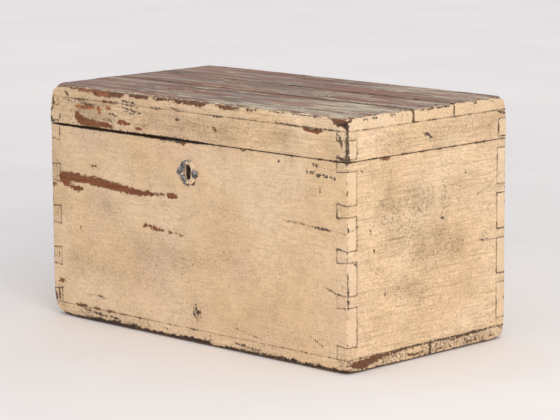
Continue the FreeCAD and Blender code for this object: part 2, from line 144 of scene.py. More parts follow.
SIDE_WALLS = ("front_board", "back_board")
END_WALLS = ("left_end_board", "right_end_board")
BOTTOM_PLANKS = ("bottom_front_plank", "bottom_rear_plank")
SIDE_RAILS = ("lid_front_rail", "lid_back_rail")
END_RAILS = ("lid_left_rail", "lid_right_rail")
LID_PLANKS = ("lid_front_plank", "lid_middle_plank", "lid_rear_plank")
LOCK_IRON = ("lock_plate", "lock_case", "drill_pin", "bolt_guide_stud", "lock_bolt", "link_plate")
LOCK_SPRIGS = ("lock_sprigs", "link_plate_sprigs")
HINGE_IRON = (
    "left_hinge_body_leaf", "right_hinge_body_leaf", "left_hinge_lid_leaf", "right_hinge_lid_leaf",
    "left_hinge_pin", "right_hinge_pin",
)
HINGE_SCREWS = {"hinge_body_screws": 1, "hinge_lid_screws": -1}
PLANK_NAILS = ("bottom_nails", "lid_nails")

# Marks on the paint, in millimetres. Each is a path of (along the face, height, half width), where along
# is x on the front and back and y on the ends.
PAINT_LOSSES = {
    "front": (
        ((-178, 135.4, 6), (-166, 137, 5), (-150, 136.7, 3.6), (-128, 136, 4.1), (-108, 134.5, 3.8),
         (-90, 133.5, 3.5), (-75, 132, 3), (-60, 132.5, 2.3), (-50, 133, 1), (-44, 132.6, 0.2)),
        ((-40, 133.7, 1.7), (-37, 133.6, 1.5)),
        ((-31, 133.6, 2), (-26, 134, 2.4), (-20.5, 134, 1.6)),
        ((-195, 127.5, 2.2), (-190, 127.8, 1.2)),
        ((-176, 128.8, 0.8), (-166, 127.5, 2), (-157, 126.8, 2.2), (-151, 126.7, 1.2)),
        ((-66, 101.8, 1), (-62, 101.8, 1.5)),
        ((-57, 102, 1), (-52, 101.2, 2.3), (-45, 100.3, 1.5), (-37, 100, 0.7)),
        ((-30, 99.6, 0.5), (-27, 99.5, 0.6)),
        ((-22, 99.3, 0.5), (-12, 98.6, 0.3)),
        ((-139, 151, 0.5), (-135, 150.6, 1), (-131, 150.8, 0.4)),
        ((-187, 34.6, 1), (-182, 34.4, 1.9), (-177, 34.8, 0.5)),
        ((-162, 13.8, 0.8), (-155, 14, 1.4), (-148, 13.6, 0.9)),
        ((-135, 13.4, 1.4), (-129, 13.4, 1)),
        ((-118, 13.2, 0.7), (-106, 13, 0.5)),
        ((-40, 185.6, 1), (-36, 185.8, 1.4), (-33, 186, 0.6)),
        ((-14, 185.4, 1.1), (-10, 184.6, 1.6), (-7, 185.8, 0.8)),
        ((66, 185.6, 0.8), (69, 185.2, 1)),
        # Lid edge and rail
        ((-158, 200.5, 0.6), (-155, 196, 4.2), (-149, 192.6, 4.8), (-138, 191.4, 3.9), (-124, 191, 2.8),
         (-112, 190.6, 2.2), (-103, 190, 1)),
        ((-101, 194, 0.6), (-95, 196, 1.7), (-89, 195.8, 2), (-82, 194.8, 0.8)),
        ((-76, 193, 0.7), (-70, 192.4, 1.3), (-66, 192, 0.6)),
        ((-157, 205.6, 0.8), (-149, 206, 1.9), (-139, 206.4, 1.9), (-132, 206.6, 0.9)),
        ((-126, 207, 1), (-124, 204, 1.8), (-123, 202, 0.8)),
        ((-114, 208.2, 1.3), (-109, 207.6, 1.6)),
        ((-118, 213.8, 0.7), (-108, 214, 1.1), (-99, 213.6, 0.6)),
        ((-166, 223.6, 0.8), (-150, 223, 1.8), (-134, 222.6, 2.2), (-124, 221.8, 3.4), (-113, 221.4, 4),
         (-103, 221.8, 3.2), (-95, 222.4, 2.6), (-89, 223.2, 1)),
        ((-82, 223.4, 1.5), (-72, 223, 2.1), (-57, 223.2, 1.6)),
        ((-49, 222.6, 1), (-44, 221.6, 1.8), (-38, 223.2, 1.6), (-31, 223.8, 1)),
        ((-28, 223.4, 1.2), (-16, 223, 1.8), (2, 222.8, 2.3), (14, 222.6, 2.6), (23, 223.4, 1)),
        ((34, 223, 1.1), (44, 222.4, 2.1), (55, 222, 1.7), (63, 222.4, 0.8)),
        ((74, 222, 0.6), (80, 221.6, 0.9)),
        ((30.5, 202.8, 0.9), (32.5, 200.6, 1.8)),
        ((144, 211.8, 0.8), (150, 211, 1.8), (158, 210.8, 2), (166, 211.4, 0.8)),
        ((176, 224.5, 1.5), (184, 222.5, 4.8), (192, 221.5, 5.5), (196, 221, 5.6)),
    ),
    "right": (
        ((-63, 186, 0.9), (-58, 185.6, 1.3), (-53, 186, 0.7)),
        ((-107, 222, 3.4), (-102.5, 223.5, 2.2), (-99.5, 225.2, 0.8)),
        ((-100, 7.5, 2), (-86, 7, 4.6), (-74, 9.2, 3.3), (-60, 10.8, 1.8), (-44, 11.6, 1),
         (-20, 11.9, 0.8)),
        ((26, 10.8, 0.2), (34, 9.8, 1), (40, 10.8, 0.4), (56, 11.4, 0.7), (70, 11.8, 0.2)),
        ((-28, 6, 0.3), (-20, 5, 0.7), (-8, 5.4, 0.5)),
        ((12, 4.4, 0.3), (24, 5, 0.5), (31, 4.2, 0.2)),
        ((52, 5.6, 0.2), (64, 5, 0.5), (71, 5.2, 0.2)),
        ((84, 6, 0.3), (92, 5.2, 0.6)),
    ),
    "left": (
        ((-104, 137, 4.5), (-97, 138, 3.2), (-90, 137.6, 3.9), (-80, 137.2, 2), (-73, 136.8, 2.4),
         (-66, 136.6, 0.7)),
        ((-60, 136.4, 1), (-57, 136.4, 0.7)),
        ((-105, 128, 2), (-96, 127.4, 1.2)),
        ((17, 151.6, 0.5), (23, 151, 1.9), (29, 150.4, 1), (36, 150.8, 2.2), (41, 151.2, 0.8)),
        ((46, 151.4, 0.9), (50, 151, 1.3)),
        ((58, 152.2, 0.5), (62, 152, 0.8)),
        ((-38, 66, 0.5), (-33, 65.4, 1.2)),
        ((-27, 64.6, 0.9), (-22, 64.4, 1.7), (-15, 65, 0.5)),
        ((80, 40.4, 0.5), (86, 41, 1.4), (91, 40.4, 1), (98, 41.4, 2.6), (106, 42, 3.2)),
        ((-99, 197, 0.7), (-95, 194.6, 2.2), (-87, 193, 2.9), (-80, 191.6, 1.7), (-72, 191, 2.4),
         (-64, 190.4, 0.9)),
        ((-58, 190, 0.8), (-54, 189.8, 0.5)),
        ((30, 207.6, 0.6), (36, 207, 1.6), (42, 207.2, 0.7)),
        ((48, 206.6, 0.9), (53, 206.4, 1.2)),
        ((-92, 222.6, 0.7), (-84, 222, 1.8), (-74, 222.6, 1), (-66, 222.2, 1.5), (-58, 222.8, 0.6)),
        ((50, 223, 0.7), (58, 222.4, 1.4), (68, 222.8, 0.8)),
        ((-62, 7, 1.2), (-52, 7.6, 2.6), (-42, 8, 1.8), (-34, 8.6, 3.2), (-20, 9.4, 1.6), (-10, 9.8, 0.8)),
        ((40, 6, 1.2), (52, 6.4, 2.6), (60, 7, 1.6), (68, 7, 2.4), (88, 6, 1.2)),
    ),
    "back": (
        ((160, 168.4, 0.7), (150, 169, 2), (141, 168.2, 1.4), (130, 169.4, 2.8), (117, 168.6, 1.7),
         (106, 169.4, 2.3), (97, 169, 0.8)),
        ((90, 169.6, 1.1), (85, 169.4, 0.8)),
        ((76, 170, 0.5), (71, 170, 1)),
        ((-64, 157.4, 0.5), (-71, 157, 1.3)),
        ((-80, 156.6, 0.7), (-91, 156, 2), (-101, 155.4, 1.1), (-111, 155.8, 2.3), (-122, 156.2, 0.8)),
        ((-130, 156.6, 0.7), (-134, 156.4, 0.4)),
        ((24, 87.8, 0.4), (17, 87.2, 1.3)),
        ((8, 86.6, 0.7), (-2, 86.4, 1.9), (-12, 86, 0.9)),
        ((-24, 86.2, 0.6), (-29, 86, 0.9)),
        ((195, 57.6, 3), (187, 58, 2.2), (178, 57, 2.6), (168, 57.4, 0.8)),
        ((161, 57.6, 0.8), (157, 57.4, 0.5)),
        ((-174, 119.6, 0.5), (-180, 119.8, 1.5), (-186, 119, 1.9), (-195, 119, 3.4)),
        ((-20, 30, 0.6), (-13, 31, 1.5), (-7, 30.6, 0.8)),
        ((2, 30.4, 0.8), (6, 30.2, 0.5)),
        ((106, 206, 0.6), (97, 205, 1.8), (88, 204.6, 1), (77, 205, 2), (66, 205.4, 0.8)),
        ((58, 205.6, 0.8), (53, 205.8, 0.5)),
        ((-96, 194, 0.7), (-106, 193, 1.7), (-115, 192.4, 2.6), (-127, 193, 1.2), (-138, 192.8, 1.8),
         (-146, 193, 0.6)),
        ((-28, 223, 0.8), (-40, 222.4, 1.9), (-50, 222.6, 1.2), (-62, 222, 2.3), (-76, 222.6, 1.1)),
        ((-84, 222.6, 1), (-92, 222.4, 1.5)),
        ((116, 222.8, 0.8), (128, 222.2, 2), (138, 222.6, 1.2), (150, 221.6, 2.5), (166, 222.6, 1.2)),
        ((20, 223, 0.6), (34, 222.6, 1.4), (46, 223, 0.8)),
        ((-150, 8, 1), (-136, 7.4, 2.6), (-124, 7, 1.8), (-112, 7.2, 3), (-96, 8, 1.4), (-84, 8, 0.8)),
        ((60, 7, 1), (78, 7.6, 2.4), (92, 8, 1.6), (104, 7.8, 2.7), (124, 7.4, 1.4), (140, 7.4, 0.8)),
    ),
}
# Dark marks that lie on the paint or have broken through it: dirt, and painted shade in the seam, deep in
# the keyhole and under the keyhole plate.
DIRT_AND_SHADE = {
    "front": (
        # Knots and specks
        ((3.4, 39, 0.4), (5, 35, 1)),
        ((5, 33.4, 1.2), (6.6, 30, 2), (7.4, 27.2, 1.4)),
        ((5, 25.4, 0.9), (6, 21.8, 0.5)),
        ((1.4, 33, 0.4), (1.8, 27, 1)),
        ((10.4, 34, 0.4), (11, 28.6, 0.9), (10.6, 25, 0.4)),
        ((146, 177, 0.9), (147, 173.6, 1.2)),
        ((151, 173.4, 0.9), (155, 174.4, 1.1)),
        ((160, 172, 1.6), (163, 172.6, 1.5)),
        ((167, 172.6, 1.2), (171, 172.2, 1)),
        ((175, 172.2, 1), (180.5, 171.2, 0.9)),
        ((154, 181, 0.8), (160, 181.2, 0.9)),
        ((163, 162.4, 1.2), (163, 158.8, 1.2)),
        ((-154.8, 91.4, 0.7), (-153.6, 88.8, 0.9)),
        ((-143, 81.5, 0.5), (-143, 79.2, 0.7)),
        ((152, 27.4, 0.3), (158, 24.6, 0.6), (165, 21.6, 0.3)),
        ((112, 180.6, 0.5), (113, 180, 0.5)),
        ((118, 176.4, 0.7), (119, 175.8, 0.6)),
        # Case, lower left pin and foot
        ((-194, 25, 1), (-192.6, 19, 2.3), (-191, 16, 1.6)),
        ((-187.5, 27, 0.7), (-186.8, 20, 1.4), (-186.5, 16, 1)),
        ((-150, 10.4, 0.4), (-144, 9.6, 0.8)),
        ((-138, 9.4, 0.5), (-128, 8.4, 1.2), (-118, 7.6, 0.6)),
        ((-114, 8.8, 0.4), (-106, 7.4, 1.4), (-98, 6.2, 0.8)),
        ((-88, 6, 0.6), (-76, 5, 0.9)),
        ((-40, 8.6, 0.4), (-34, 8, 0.5)),
        ((56, 8, 0.5), (68, 7.2, 1.2), (84, 6, 0.6)),
        # Round the keyhole plate: painted shadow under its lower edge, and a dark mark at its upper left
        ((6.2, 153.2, 0.9), (2.2, 148.4, 1.5), (-4, 146.6, 1.5), (-10, 148.4, 1.2), (-13.6, 152, 0.6)),
        ((-14, 163, 0.4), (-11.4, 166.8, 0.9), (-6, 169.4, 0.6)),
        # Left corner
        ((-195.2, 176, 0.3), (-194.8, 171, 0.9), (-195, 167, 0.4)),
        ((-195, 152, 0.4), (-194.6, 147, 1)),
        ((-195, 117, 0.5), (-194.4, 112.6, 1.1), (-195, 109, 0.4)),
        ((-195, 92, 0.4), (-194.6, 88, 0.9)),
        ((-195, 62, 0.5), (-194.5, 57, 1), (-195, 53, 0.4)),
        ((-186.6, 66, 0.4), (-186.2, 61, 0.9), (-186.6, 57, 0.4)),
        # Seam: painted shade along the worn gap, and dirt beside it
        ((-192, 187, 0.5), (-150, 186.8, 0.7), (-100, 186.8, 0.8), (-60, 186.7, 0.9), (-20, 186.7, 1),
         (4, 186.8, 0.6), (30, 187, 0)),
        ((-27, 186.2, 0.7), (-20, 185.4, 1.4), (-13, 186.2, 0.8)),
        ((-46, 186.2, 0.5), (-41, 185.8, 0.9), (-37, 186.2, 0.5)),
        # Lid, left end
        ((-196, 193, 2), (-192, 190, 1.6), (-189, 188.4, 0.8)),
        ((-190.4, 213, 0.8), (-189.4, 209.4, 1.4), (-189.6, 205, 1.2), (-191, 201.6, 1),
         (-195, 199.4, 1.2)),
        ((-195.7, 211, 0.6), (-195, 208.6, 1)),
        ((-195.4, 196.4, 0.6), (-194.2, 195.8, 1)),
        ((-172, 219.4, 0.7), (-170, 216.8, 1.1), (-168, 214.6, 0.4)),
        ((-160, 213.4, 0.5), (-150, 212.2, 0.8), (-143, 211, 0.4)),
        ((-93, 217.2, 0.2), (-84, 216, 0.8), (-74, 215, 0.3)),
        ((-92, 213.8, 0.3), (-82, 212.8, 0.7), (-71, 211.6, 0.3)),
        ((-92, 210.4, 0.4), (-82, 209.2, 0.9), (-73, 207.6, 0.9), (-65, 206.6, 0.2)),
        ((-88, 206.6, 0.2), (-76, 205.2, 0.6)),
        ((-110, 203, 0.3), (-104, 202.4, 0.8), (-98, 200, 0.4)),
        ((-118, 197, 0.3), (-112, 196.6, 0.9), (-106, 196, 0.4)),
        ((-150, 209.6, 0.4), (-142, 209, 1), (-130, 209.4, 0.5)),
        ((-176, 212, 0.3), (-168, 211, 0.7), (-158, 210.6, 0.3)),
        ((-181, 192, 0.3), (-180.6, 197, 0.5)),
        # Lid, along the top edge
        ((-196, 221.4, 1.2), (-189, 223.8, 1.5), (-178, 224.6, 1), (-160, 224.4, 0.8), (-112, 224.6, 0.7)),
        ((-104, 224.8, 0.6), (-72, 224.8, 1), (-30, 225, 0.8), (30, 224.8, 0.9), (62, 224.8, 0.5)),
        ((72, 223.6, 0.4), (84, 223.4, 0.9), (92, 223.8, 0.4)),
        ((100, 224.2, 0.4), (111, 223.8, 0.9), (120, 224.2, 0.5)),
        ((129, 224.6, 0.5), (140, 224.2, 1), (152, 224, 0.9), (164, 224.4, 0.4)),
        ((-52, 213.4, 0.3), (-44, 213.2, 0.8), (-38, 213.4, 0.3)),
        ((22, 213.4, 0.3), (34, 213.2, 0.9), (44, 213.4, 0.4)),
        ((-20, 206.4, 0.3), (-17, 205.6, 0.9), (-13, 206, 0.3)),
        ((-26, 215.6, 0.4), (-18, 214.8, 0.6)),
        ((-62, 196, 0.4), (-61, 195.4, 0.5)),
        # Lid, right end
        ((146, 212.8, 0.6), (156, 212.4, 1), (166, 212.6, 0.5)),
        ((108, 214, 0.3), (130, 213.4, 0.6), (150, 213.2, 0.5), (178, 213.4, 0.6)),
        ((185.6, 212, 0.5), (187, 206.5, 1.1), (188.4, 202.4, 1.2), (188.8, 199, 0.5)),
        ((194.8, 218, 2), (195.4, 211, 1.5), (195, 206, 2.2), (195.2, 201, 1.5), (195, 196, 2.3),
         (195.2, 193, 1.6), (194.4, 189.6, 3), (194.6, 187, 2.6)),
        ((184, 190.8, 0.6), (188, 189.4, 1.4), (193, 188.6, 1.8)),
        ((196, 222, 2.4), (190, 219.4, 1.2), (184, 218.2, 0.4)),
    ),
    "right": (
        ((-87.6, 177, 1.1), (-86.8, 177.2, 1)),
        ((-76, 123.2, 1.1), (-75.4, 122.6, 1)),
        ((18, 123.3, 1.5), (19.6, 123, 1.1)),
        ((49, 162, 0.9), (50.2, 161.8, 0.9)),
        ((-60, 66, 0.6), (-57.6, 65.2, 1.2)),
        ((-72.4, 108, 0.5), (-72, 104.6, 0.8)),
        ((-29, 223, 0.3), (-28.8, 216, 0.4)),
        ((-9.5, 203.4, 0.5), (-5, 201.8, 0.7), (-1, 201, 1.1), (2, 197.8, 1.2)),
        # Plank joints and the broken line under the top edge
        ((-21.8, 226, 2), (-21.6, 220, 1.4), (-22, 214, 1.1)),
        ((32.8, 226, 0.9), (32.8, 220, 0.7), (32.9, 214, 0.6)),
        ((-36.4, 222, -0.2), (-36.8, 214.6, 0.2)),
        ((-2.6, 222.6, 0.1), (-3, 215, -0.3)),
        ((-86, 222.2, 0.5), (-80, 222.5, 0.6)),
        ((-74, 222.6, 0.6), (-69, 222.8, 0.5)),
        ((-52, 223, 0.5), (-46, 223.2, 0.6)),
        ((-12, 223.6, 0.7), (-2, 223.8, 1), (6, 224, 0.6)),
        ((10, 223.8, 0.8), (18, 224, 1.1), (27, 224, 0.7)),
        ((60, 223, 0.5), (64, 223, 0.5)),
        ((82, 222.4, 0.6), (88, 221.8, 0.8)),
        # Near corner and far corner
        ((-106.6, 219, 2), (-106.2, 212, 1.3), (-106.4, 206, 1.8), (-106.2, 201, 1.2), (-106.2, 197, 1.7),
         (-106, 193, 1.3), (-105.4, 190, 2.3), (-105.6, 187, 2.3)),
        ((-94.2, 199, 0.3), (-94, 195, 0.7), (-94.2, 191, 0.4)),
        ((94, 212, 0.8), (98, 211, 1.2), (103, 210.4, 0.8)),
        ((95.4, 208, 0.4), (95, 198, 0.6), (95.4, 189, 0.6)),
        ((-106, 128.6, 1.4), (-105, 127.4, 1.2)),
        ((-105.6, 88, 0.6), (-105.2, 76, 0.9), (-105.8, 66, 1.3), (-105.4, 58, 0.6)),
        ((-96.4, 96.6, 1), (-95, 96, 0.8)),
        # Foot
        ((2.3, 13, 1.5), (2.3, 0, 1.6)),
        ((-53, 12.4, 0.5), (-20, 12.6, 0.8), (20, 12.4, 0.6), (60, 12.6, 0.9), (100, 12.8, 0.5)),
    ),
    "left": (
        ((60, 120, 0.6), (62, 117, 1.2)),
        ((-21.8, 226, 1.6), (-21.6, 220, 1.2), (-22, 214, 0.9)),
        ((32.8, 226, 0.9), (32.8, 220, 0.7), (32.9, 214, 0.6)),
        ((-106, 193, 2.2), (-103, 190, 1.4), (-99, 188.4, 0.6)),
        ((2.3, 13, 0.9), (2.3, 0, 1.2)),
    ),
    "back": (
        ((40, 60, 0.8), (42, 55, 1.4)),
        ((-150, 222.8, 0.5), (-140, 222.4, 0.7)),
        ((20, 222.6, 0.5), (34, 222.2, 0.8)),
        ((86, 7, 0.6), (110, 6, 1.2), (120, 5, 0.5)),
    ),
    # Plank joints and checks; height is y on these two
    "top": (
        ((-196, -21.8, 1.4), (-120, -21.6, 2.6), (-40, -22, 1.8), (60, -21.8, 2.8), (196, -21.8, 2.8)),
        ((-196, 32.8, 0.9), (-60, 32.6, 1.6), (40, 32.9, 1), (196, 32.8, 1.3)),
        ((-140, -60, 0.4), (-60, -61, 1.1), (20, -60, 0.3)),
        ((-160, 10, 0.4), (-60, 8, 1.2), (40, 9, 0.3)),
        ((20, 62, 0.4), (90, 61, 1.2), (180, 60, 0.5)),
        ((-90, 81, 0.4), (0, 83, 1), (60, 82, 0.3)),
        ((70, -79, 0.4), (140, -82, 1.2), (190, -81, 0.6)),
        ((60, -4, 0.4), (120, -3, 1), (190, -5, 0.4)),
    ),
    "underside": (
        ((-194, 2.3, 1.2), (-60, 2.4, 0.9), (80, 2.2, 1.4), (194, 2.3, 1)),
        ((-194, -58, 0.8), (-150, -57, 1), (-110, -58, 0.2)),
        ((194, 61, 0.9), (140, 60, 0.9), (70, 61.4, 0.2)),
    ),
}
# Soft clouds of soil on the paint.
SMEARS = {
    "front": (
        ((-108, 168, 7), (-88, 166, 9), (-70, 170, 4)),
        ((-80, 214, 8), (-80, 208, 6)),
        ((-195, 203, 12), (-120, 204, 14), (-50, 202, 13), (50, 202, 11), (120, 204, 6)),
        ((-195, 160, 8), (-195, 60, 10)),
        ((-170, 60, 6), (-100, 48, 8), (-60, 50, 4)),
        ((-150, 120, 8), (-110, 112, 12)),
        ((-70, 76, 10), (-30, 70, 14), (20, 78, 8)),
        ((6, 34, 5), (6, 26, 4)),
        ((-120, 8, 5), (-60, 7, 4)),
    ),
    "right": (
        ((-44, 118, 16), (0, 104, 20), (34, 96, 12)),
        ((-56, 146, 10), (-10, 138, 14), (40, 142, 10)),
        ((-40, 70, 8), (-10, 60, 10)),
        ((-60, 200, 8), (20, 202, 8), (80, 200, 6)),
        ((-20, 6, 5), (40, 6, 5), (90, 6, 5)),
    ),
    "left": (
        ((-50, 100, 16), (-10, 96, 20), (30, 102, 12)),
        ((50, 50, 10), (70, 44, 12)),
    ),
    "back": (
        ((-120, 176, 10), (-120, 156, 7)),
        ((120, 176, 10), (120, 156, 7)),
        ((-60, 90, 16), (20, 80, 20)),
    ),
}
# Hairline cracks, as paths of (along the face, height).
HAIRLINES = {
    "front": (
        ((122, 128), (140, 127.4), (160, 126.2), (182, 124.8), (196, 124.4)),
        ((168, 75), (176, 72.5), (183, 69.5)),
        ((58, 21.6), (72, 19.4), (90, 16.4)),
        ((-146, 25.6), (-132, 26.6), (-120, 25)),
    ),
    "right": (
        ((-106, 126.4), (-98, 127), (-93.4, 130)),
        ((68, 96.6), (80, 95.8), (93, 95)),
        ((66, 139), (84, 146), (98, 156)),
    ),
    "left": (
        ((-106, 84), (-80, 82), (-50, 83.6)),
        ((106, 150), (84, 148.6), (60, 149)),
    ),
    "back": (
        ((195, 100), (150, 98.4), (96, 99.6)),
        ((-195, 70), (-160, 72), (-130, 71)),
    ),
}

# Places where the box is worn away beyond its usual rounding, in millimetres: the middle of the wear, how
# far it reaches along each axis, and how much it adds to the rounding.
Worn = namedtuple("Worn", "place reach growth")
WORN_CASE = (
    Worn((-195, -106, 0), (26, 20, 14), 8.5),
    Worn((195, -106, 0), (14, 14, 10), 2.5),
    Worn((195, 106, 0), (16, 16, 12), 3.5),
    Worn((-195, 106, 0), (18, 18, 14), 4.5),
)
WORN_LID = (
    Worn((-195.7, 0, 225.5), (22, 300, 22), 3.4),
    Worn((195.7, -106.7, 225.5), (15, 10, 9), 3.2),
    Worn((195.7, 106, 225.5), (22, 22, 16), 3.4),
    Worn((-195.7, -106.7, 225.5), (24, 24, 18), 4.6),
)


def linear(red, green, blue):
    """A colour picked on screen, from 0 to 255, as the linear values that shaders take."""
    shares = (value / 255 for value in (red, green, blue))
    return tuple(s / 12.92 if s <= 0.04045 else ((s + 0.055) / 1.055) ** 2.4 for s in shares)


def colour_property(name, description, *picked):
    return FloatVectorProperty(
        name=name, description=description, subtype="COLOR", size=3, min=0, max=1, default=linear(*picked)
    )


def length_property(name, description, millimetres):
    return FloatProperty(name=name, description=description, unit="LENGTH", min=0, default=millimetres * MM)


def strength_property(name, description, default, unit="NONE"):
    return FloatProperty(name=name, description=description, unit=unit, min=0, default=default)


def place_property(name, description, *place):
    return FloatVectorProperty(name=name, description=description, subtype="XYZ", default=place)


def angle_property(name, description, degrees):
    return FloatProperty(name=name, description=description, subtype="ANGLE", default=math.radians(degrees))


class MoneyBoxWear(bpy.types.PropertyGroup):
    """Sizes of the worn wood and paint."""

    edge_cell: length_property("Edge cell", "Mesh spacing at the edges of a board", 0.25)
    face_cell: length_property("Face cell", "Mesh spacing in the middle of a board", 1.5)
    arris: length_property("Arris", "Rounding of a board's own edges", 0.24)
    upright_round: length_property("Upright rounding", "Rounding of the upright corners", 1.9)
    foot_round: length_property("Foot rounding", "Rounding of the bottom edge", 4.5)
    # This height also sets how high the painted shade along the bottom edge shows on the bare foot
    foot_bare_and_shade: length_property("Foot rubbing", "Height to which the foot is rubbed bare", 4.0)
    top_round: length_property("Top rounding", "Rounding of the lid's top edge", 5.0)
    round_fade: length_property("Rounding fade", "Height over which the rounding eases off", 7.0)
    seam_gap: length_property("Seam gap", "How far the front of the seam has worn apart, each way", 1.05)
    seam_wear: length_property("Seam wear", "Extra rounding along the front of the lid's seam", 0.7)
    plank_joint_wear: length_property("Plank joint wear", "Extra wear along the open joint of the lid", 1.0)
    coat: length_property("Coat", "Thickness of the paint, which the losses sink by", 0.32)
    unevenness: length_property("Unevenness", "How far the planed faces wander", 0.25)
    iron_bevel: length_property("Iron bevel", "Rounding of the ironwork's edges", 0.18)
    furrow: length_property("Furrow", "Depth of the weathered grain on the lid's top", 0.45)
    plate_roll: length_property("Plate roll", "How far the keyhole plate falls off at its edges", 0.8)
    ear_blunting: length_property("Ear blunting", "Length of the plate's ear tips that is worn blunt", 1.6)


class MoneyBoxColours(bpy.types.PropertyGroup):
    """Colours of paint, wood and iron."""

    cream: colour_property("Cream", "Paint where it is cleanest", 234, 203, 165)
    cream_pale: colour_property("Pale cream", "Paint that lies thick and clean", 246, 221, 186)
    cream_warm: colour_property("Warm cream", "Paint where it has yellowed", 228, 193, 150)
    cream_pink: colour_property("Pinkish cream", "Paint worn thin", 226, 191, 164)
    grime: colour_property("Grime", "Grey brown dirt in the paint", 160, 130, 89)
    speck: colour_property("Speck", "Pits and specks in the paint", 88, 61, 41)
    # Also the dark of the painted shade in the seam, deep in the keyhole and under the keyhole plate
    crevice: colour_property("Crevice", "Dirt in joints and cracks", 34, 25, 20)
    bare: colour_property("Bare wood", "Wood under flaked paint", 137, 78, 40)
    bare_dark: colour_property("Dark bare wood", "Darker grain under flaked paint", 106, 58, 31)
    bare_orange: colour_property("Orange wood", "Freshly bared wood", 192, 114, 62)
    # Painted shade: the foot's dark stands in for the shadow where the box meets the floor, over rubbed
    # wood
    foot: colour_property("Foot wood", "Rubbed wood along the bottom edge", 52, 35, 28)
    weathered: colour_property("Weathered wood", "Grey of the lid's top", 160, 142, 127)
    weathered_red: colour_property("Reddish wood", "Red brown streaks of the lid's top", 146, 104, 86)
    weathered_dark: colour_property("Dark grain", "Dark streaks of the lid's top", 84, 66, 57)
    remnant: colour_property("Remnant", "Thin paint left on the lid's top", 205, 191, 163)
    inside: colour_property("Inside wood", "Unpainted wood", 176, 132, 88)
    inside_dark: colour_property("Inside grain", "Grain of the unpainted wood", 126, 86, 54)
    iron: colour_property("Iron", "Dark iron", 72, 68, 66)
    iron_bright: colour_property("Rubbed iron", "Iron rubbed bright", 142, 138, 134)
    rust: colour_property("Rust", "Rust on iron", 112, 62, 36)
    spring: colour_property("Spring", "Blued spring steel", 62, 66, 78)


class MoneyBoxStage(bpy.types.PropertyGroup):
    """The floor, the lights and the camera."""

    floor: colour_property("Floor", "Pale floor", 245, 239, 234)
    floor_radius: length_property("Floor radius", "How far the floor reaches", 16000)
    backdrop_glow: strength_property("Backdrop glow", "How much paler the camera sees the far floor", 0.11)
    sky: colour_property("Sky", "Light from all round", 244, 246, 252)
    sky_strength: strength_property("Sky strength", "Strength of that light", 0.82)
    key_power: strength_property("Key power", "Power of the main lamp", 20, "POWER")
    key_colour: colour_property("Key colour", "Main lamp's slightly warm light", 255, 252, 247)
    key_size: length_property("Key size", "Width of the main lamp", 1100)
    key_place: place_property("Key place", "Where the main lamp hangs", 1.75, -0.95, 1.15)
    key_aim: place_property("Key aim", "What the main lamp points at", 0, 0, 0.1)
    camera_place: place_property("Camera place", "Where the camera stands", 1.6857, -1.6974, 0.513)
    camera_yaw: angle_property("Yaw", "Turn from +Y towards +X", -44.649)
    camera_pitch: angle_property("Pitch", "Tilt downwards", 9.546)
    camera_roll: angle_property("Roll", "Tilt sideways", -0.343)
    camera_lens: FloatProperty(
        name="Lens", description="Focal length on a 36 mm frame", subtype="DISTANCE_CAMERA", default=165.6
    )


# Modelling


def lone_active(piece):
    """Makes one object the only selected one, and the active one."""
    bpy.ops.object.select_all(action="DESELECT")
    piece.select_set(True)
    bpy.context.view_layer.objects.active = piece


def apply_modifier(piece, kind, **settings):
    lone_active(piece)
    modifier = piece.modifiers.new(kind.lower(), kind)
    for name, value in settings.items():
        setattr(modifier, name, value)
    bpy.ops.object.modifier_apply(modifier=modifier.name)


def edit_all(piece, operator, **settings):
    """Runs one edit mode operator on the whole of a piece."""
    lone_active(piece)
    bpy.ops.object.mode_set(mode="EDIT")
    bpy.ops.mesh.select_all(action="SELECT")
    operator(**settings)
    bpy.ops.object.mode_set(mode="OBJECT")


def cut(piece, tool, operation):
    """Cuts a piece by a tool, which is then thrown away."""
    apply_modifier(piece, "BOOLEAN", operation=operation, solver="MANIFOLD", object=tool)
    bpy.data.objects.remove(tool)


def finished(piece, node, material, smooth_angle=40):
    """Smooths a piece, gives it its finish, and lets it stand for its CAD node, on that node's body."""
    lone_active(piece)
    bpy.ops.object.shade_smooth_by_angle(angle=math.radians(smooth_angle))
    piece.data.materials.clear()
    piece.data.materials.append(material)
    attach(piece, frame["nodes"][node]["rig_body"])
    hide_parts(node)


def welded_copy(node, name):
    """A copy of a CAD node with its loose triangles merged."""
    piece = frame["nodes"][node].copy()
    piece.data = piece.data.copy()
    piece.name = name
    piece.parent = None
    for key in list(piece.keys()):
        del piece[key]
    bpy.context.scene.collection.objects.link(piece)
    edit_all(piece, bpy.ops.mesh.remove_doubles, threshold=WELD)
    return piece


def vertex_places(mesh):
    places = np.empty(len(mesh.vertices) * 3)
    mesh.vertices.foreach_get("co", places)
    return places.reshape(-1, 3)


def set_places(mesh, places):
    mesh.vertices.foreach_set("co", places.ravel())
    mesh.update()


def set_attribute(mesh, name, values):
    attribute = mesh.attributes.new(name, "FLOAT", "POINT")
    attribute.data.foreach_set("value", values.astype(np.float32))


def graded_lines(low, high, edge_cell, face_cell, growth=1.3):
    """Places of the mesh lines across a board: fine at both edges and coarser towards the middle."""
    half = (high - low) / 2
    cells = []
    while sum(cells) < half or len(cells) % 2:
        cells.append(min(edge_cell * growth ** len(cells), face_cell))
    steps = np.cumsum(cells) * half / sum(cells)
    return np.concatenate(([low], low + steps, high - steps[-2::-1], [high]))


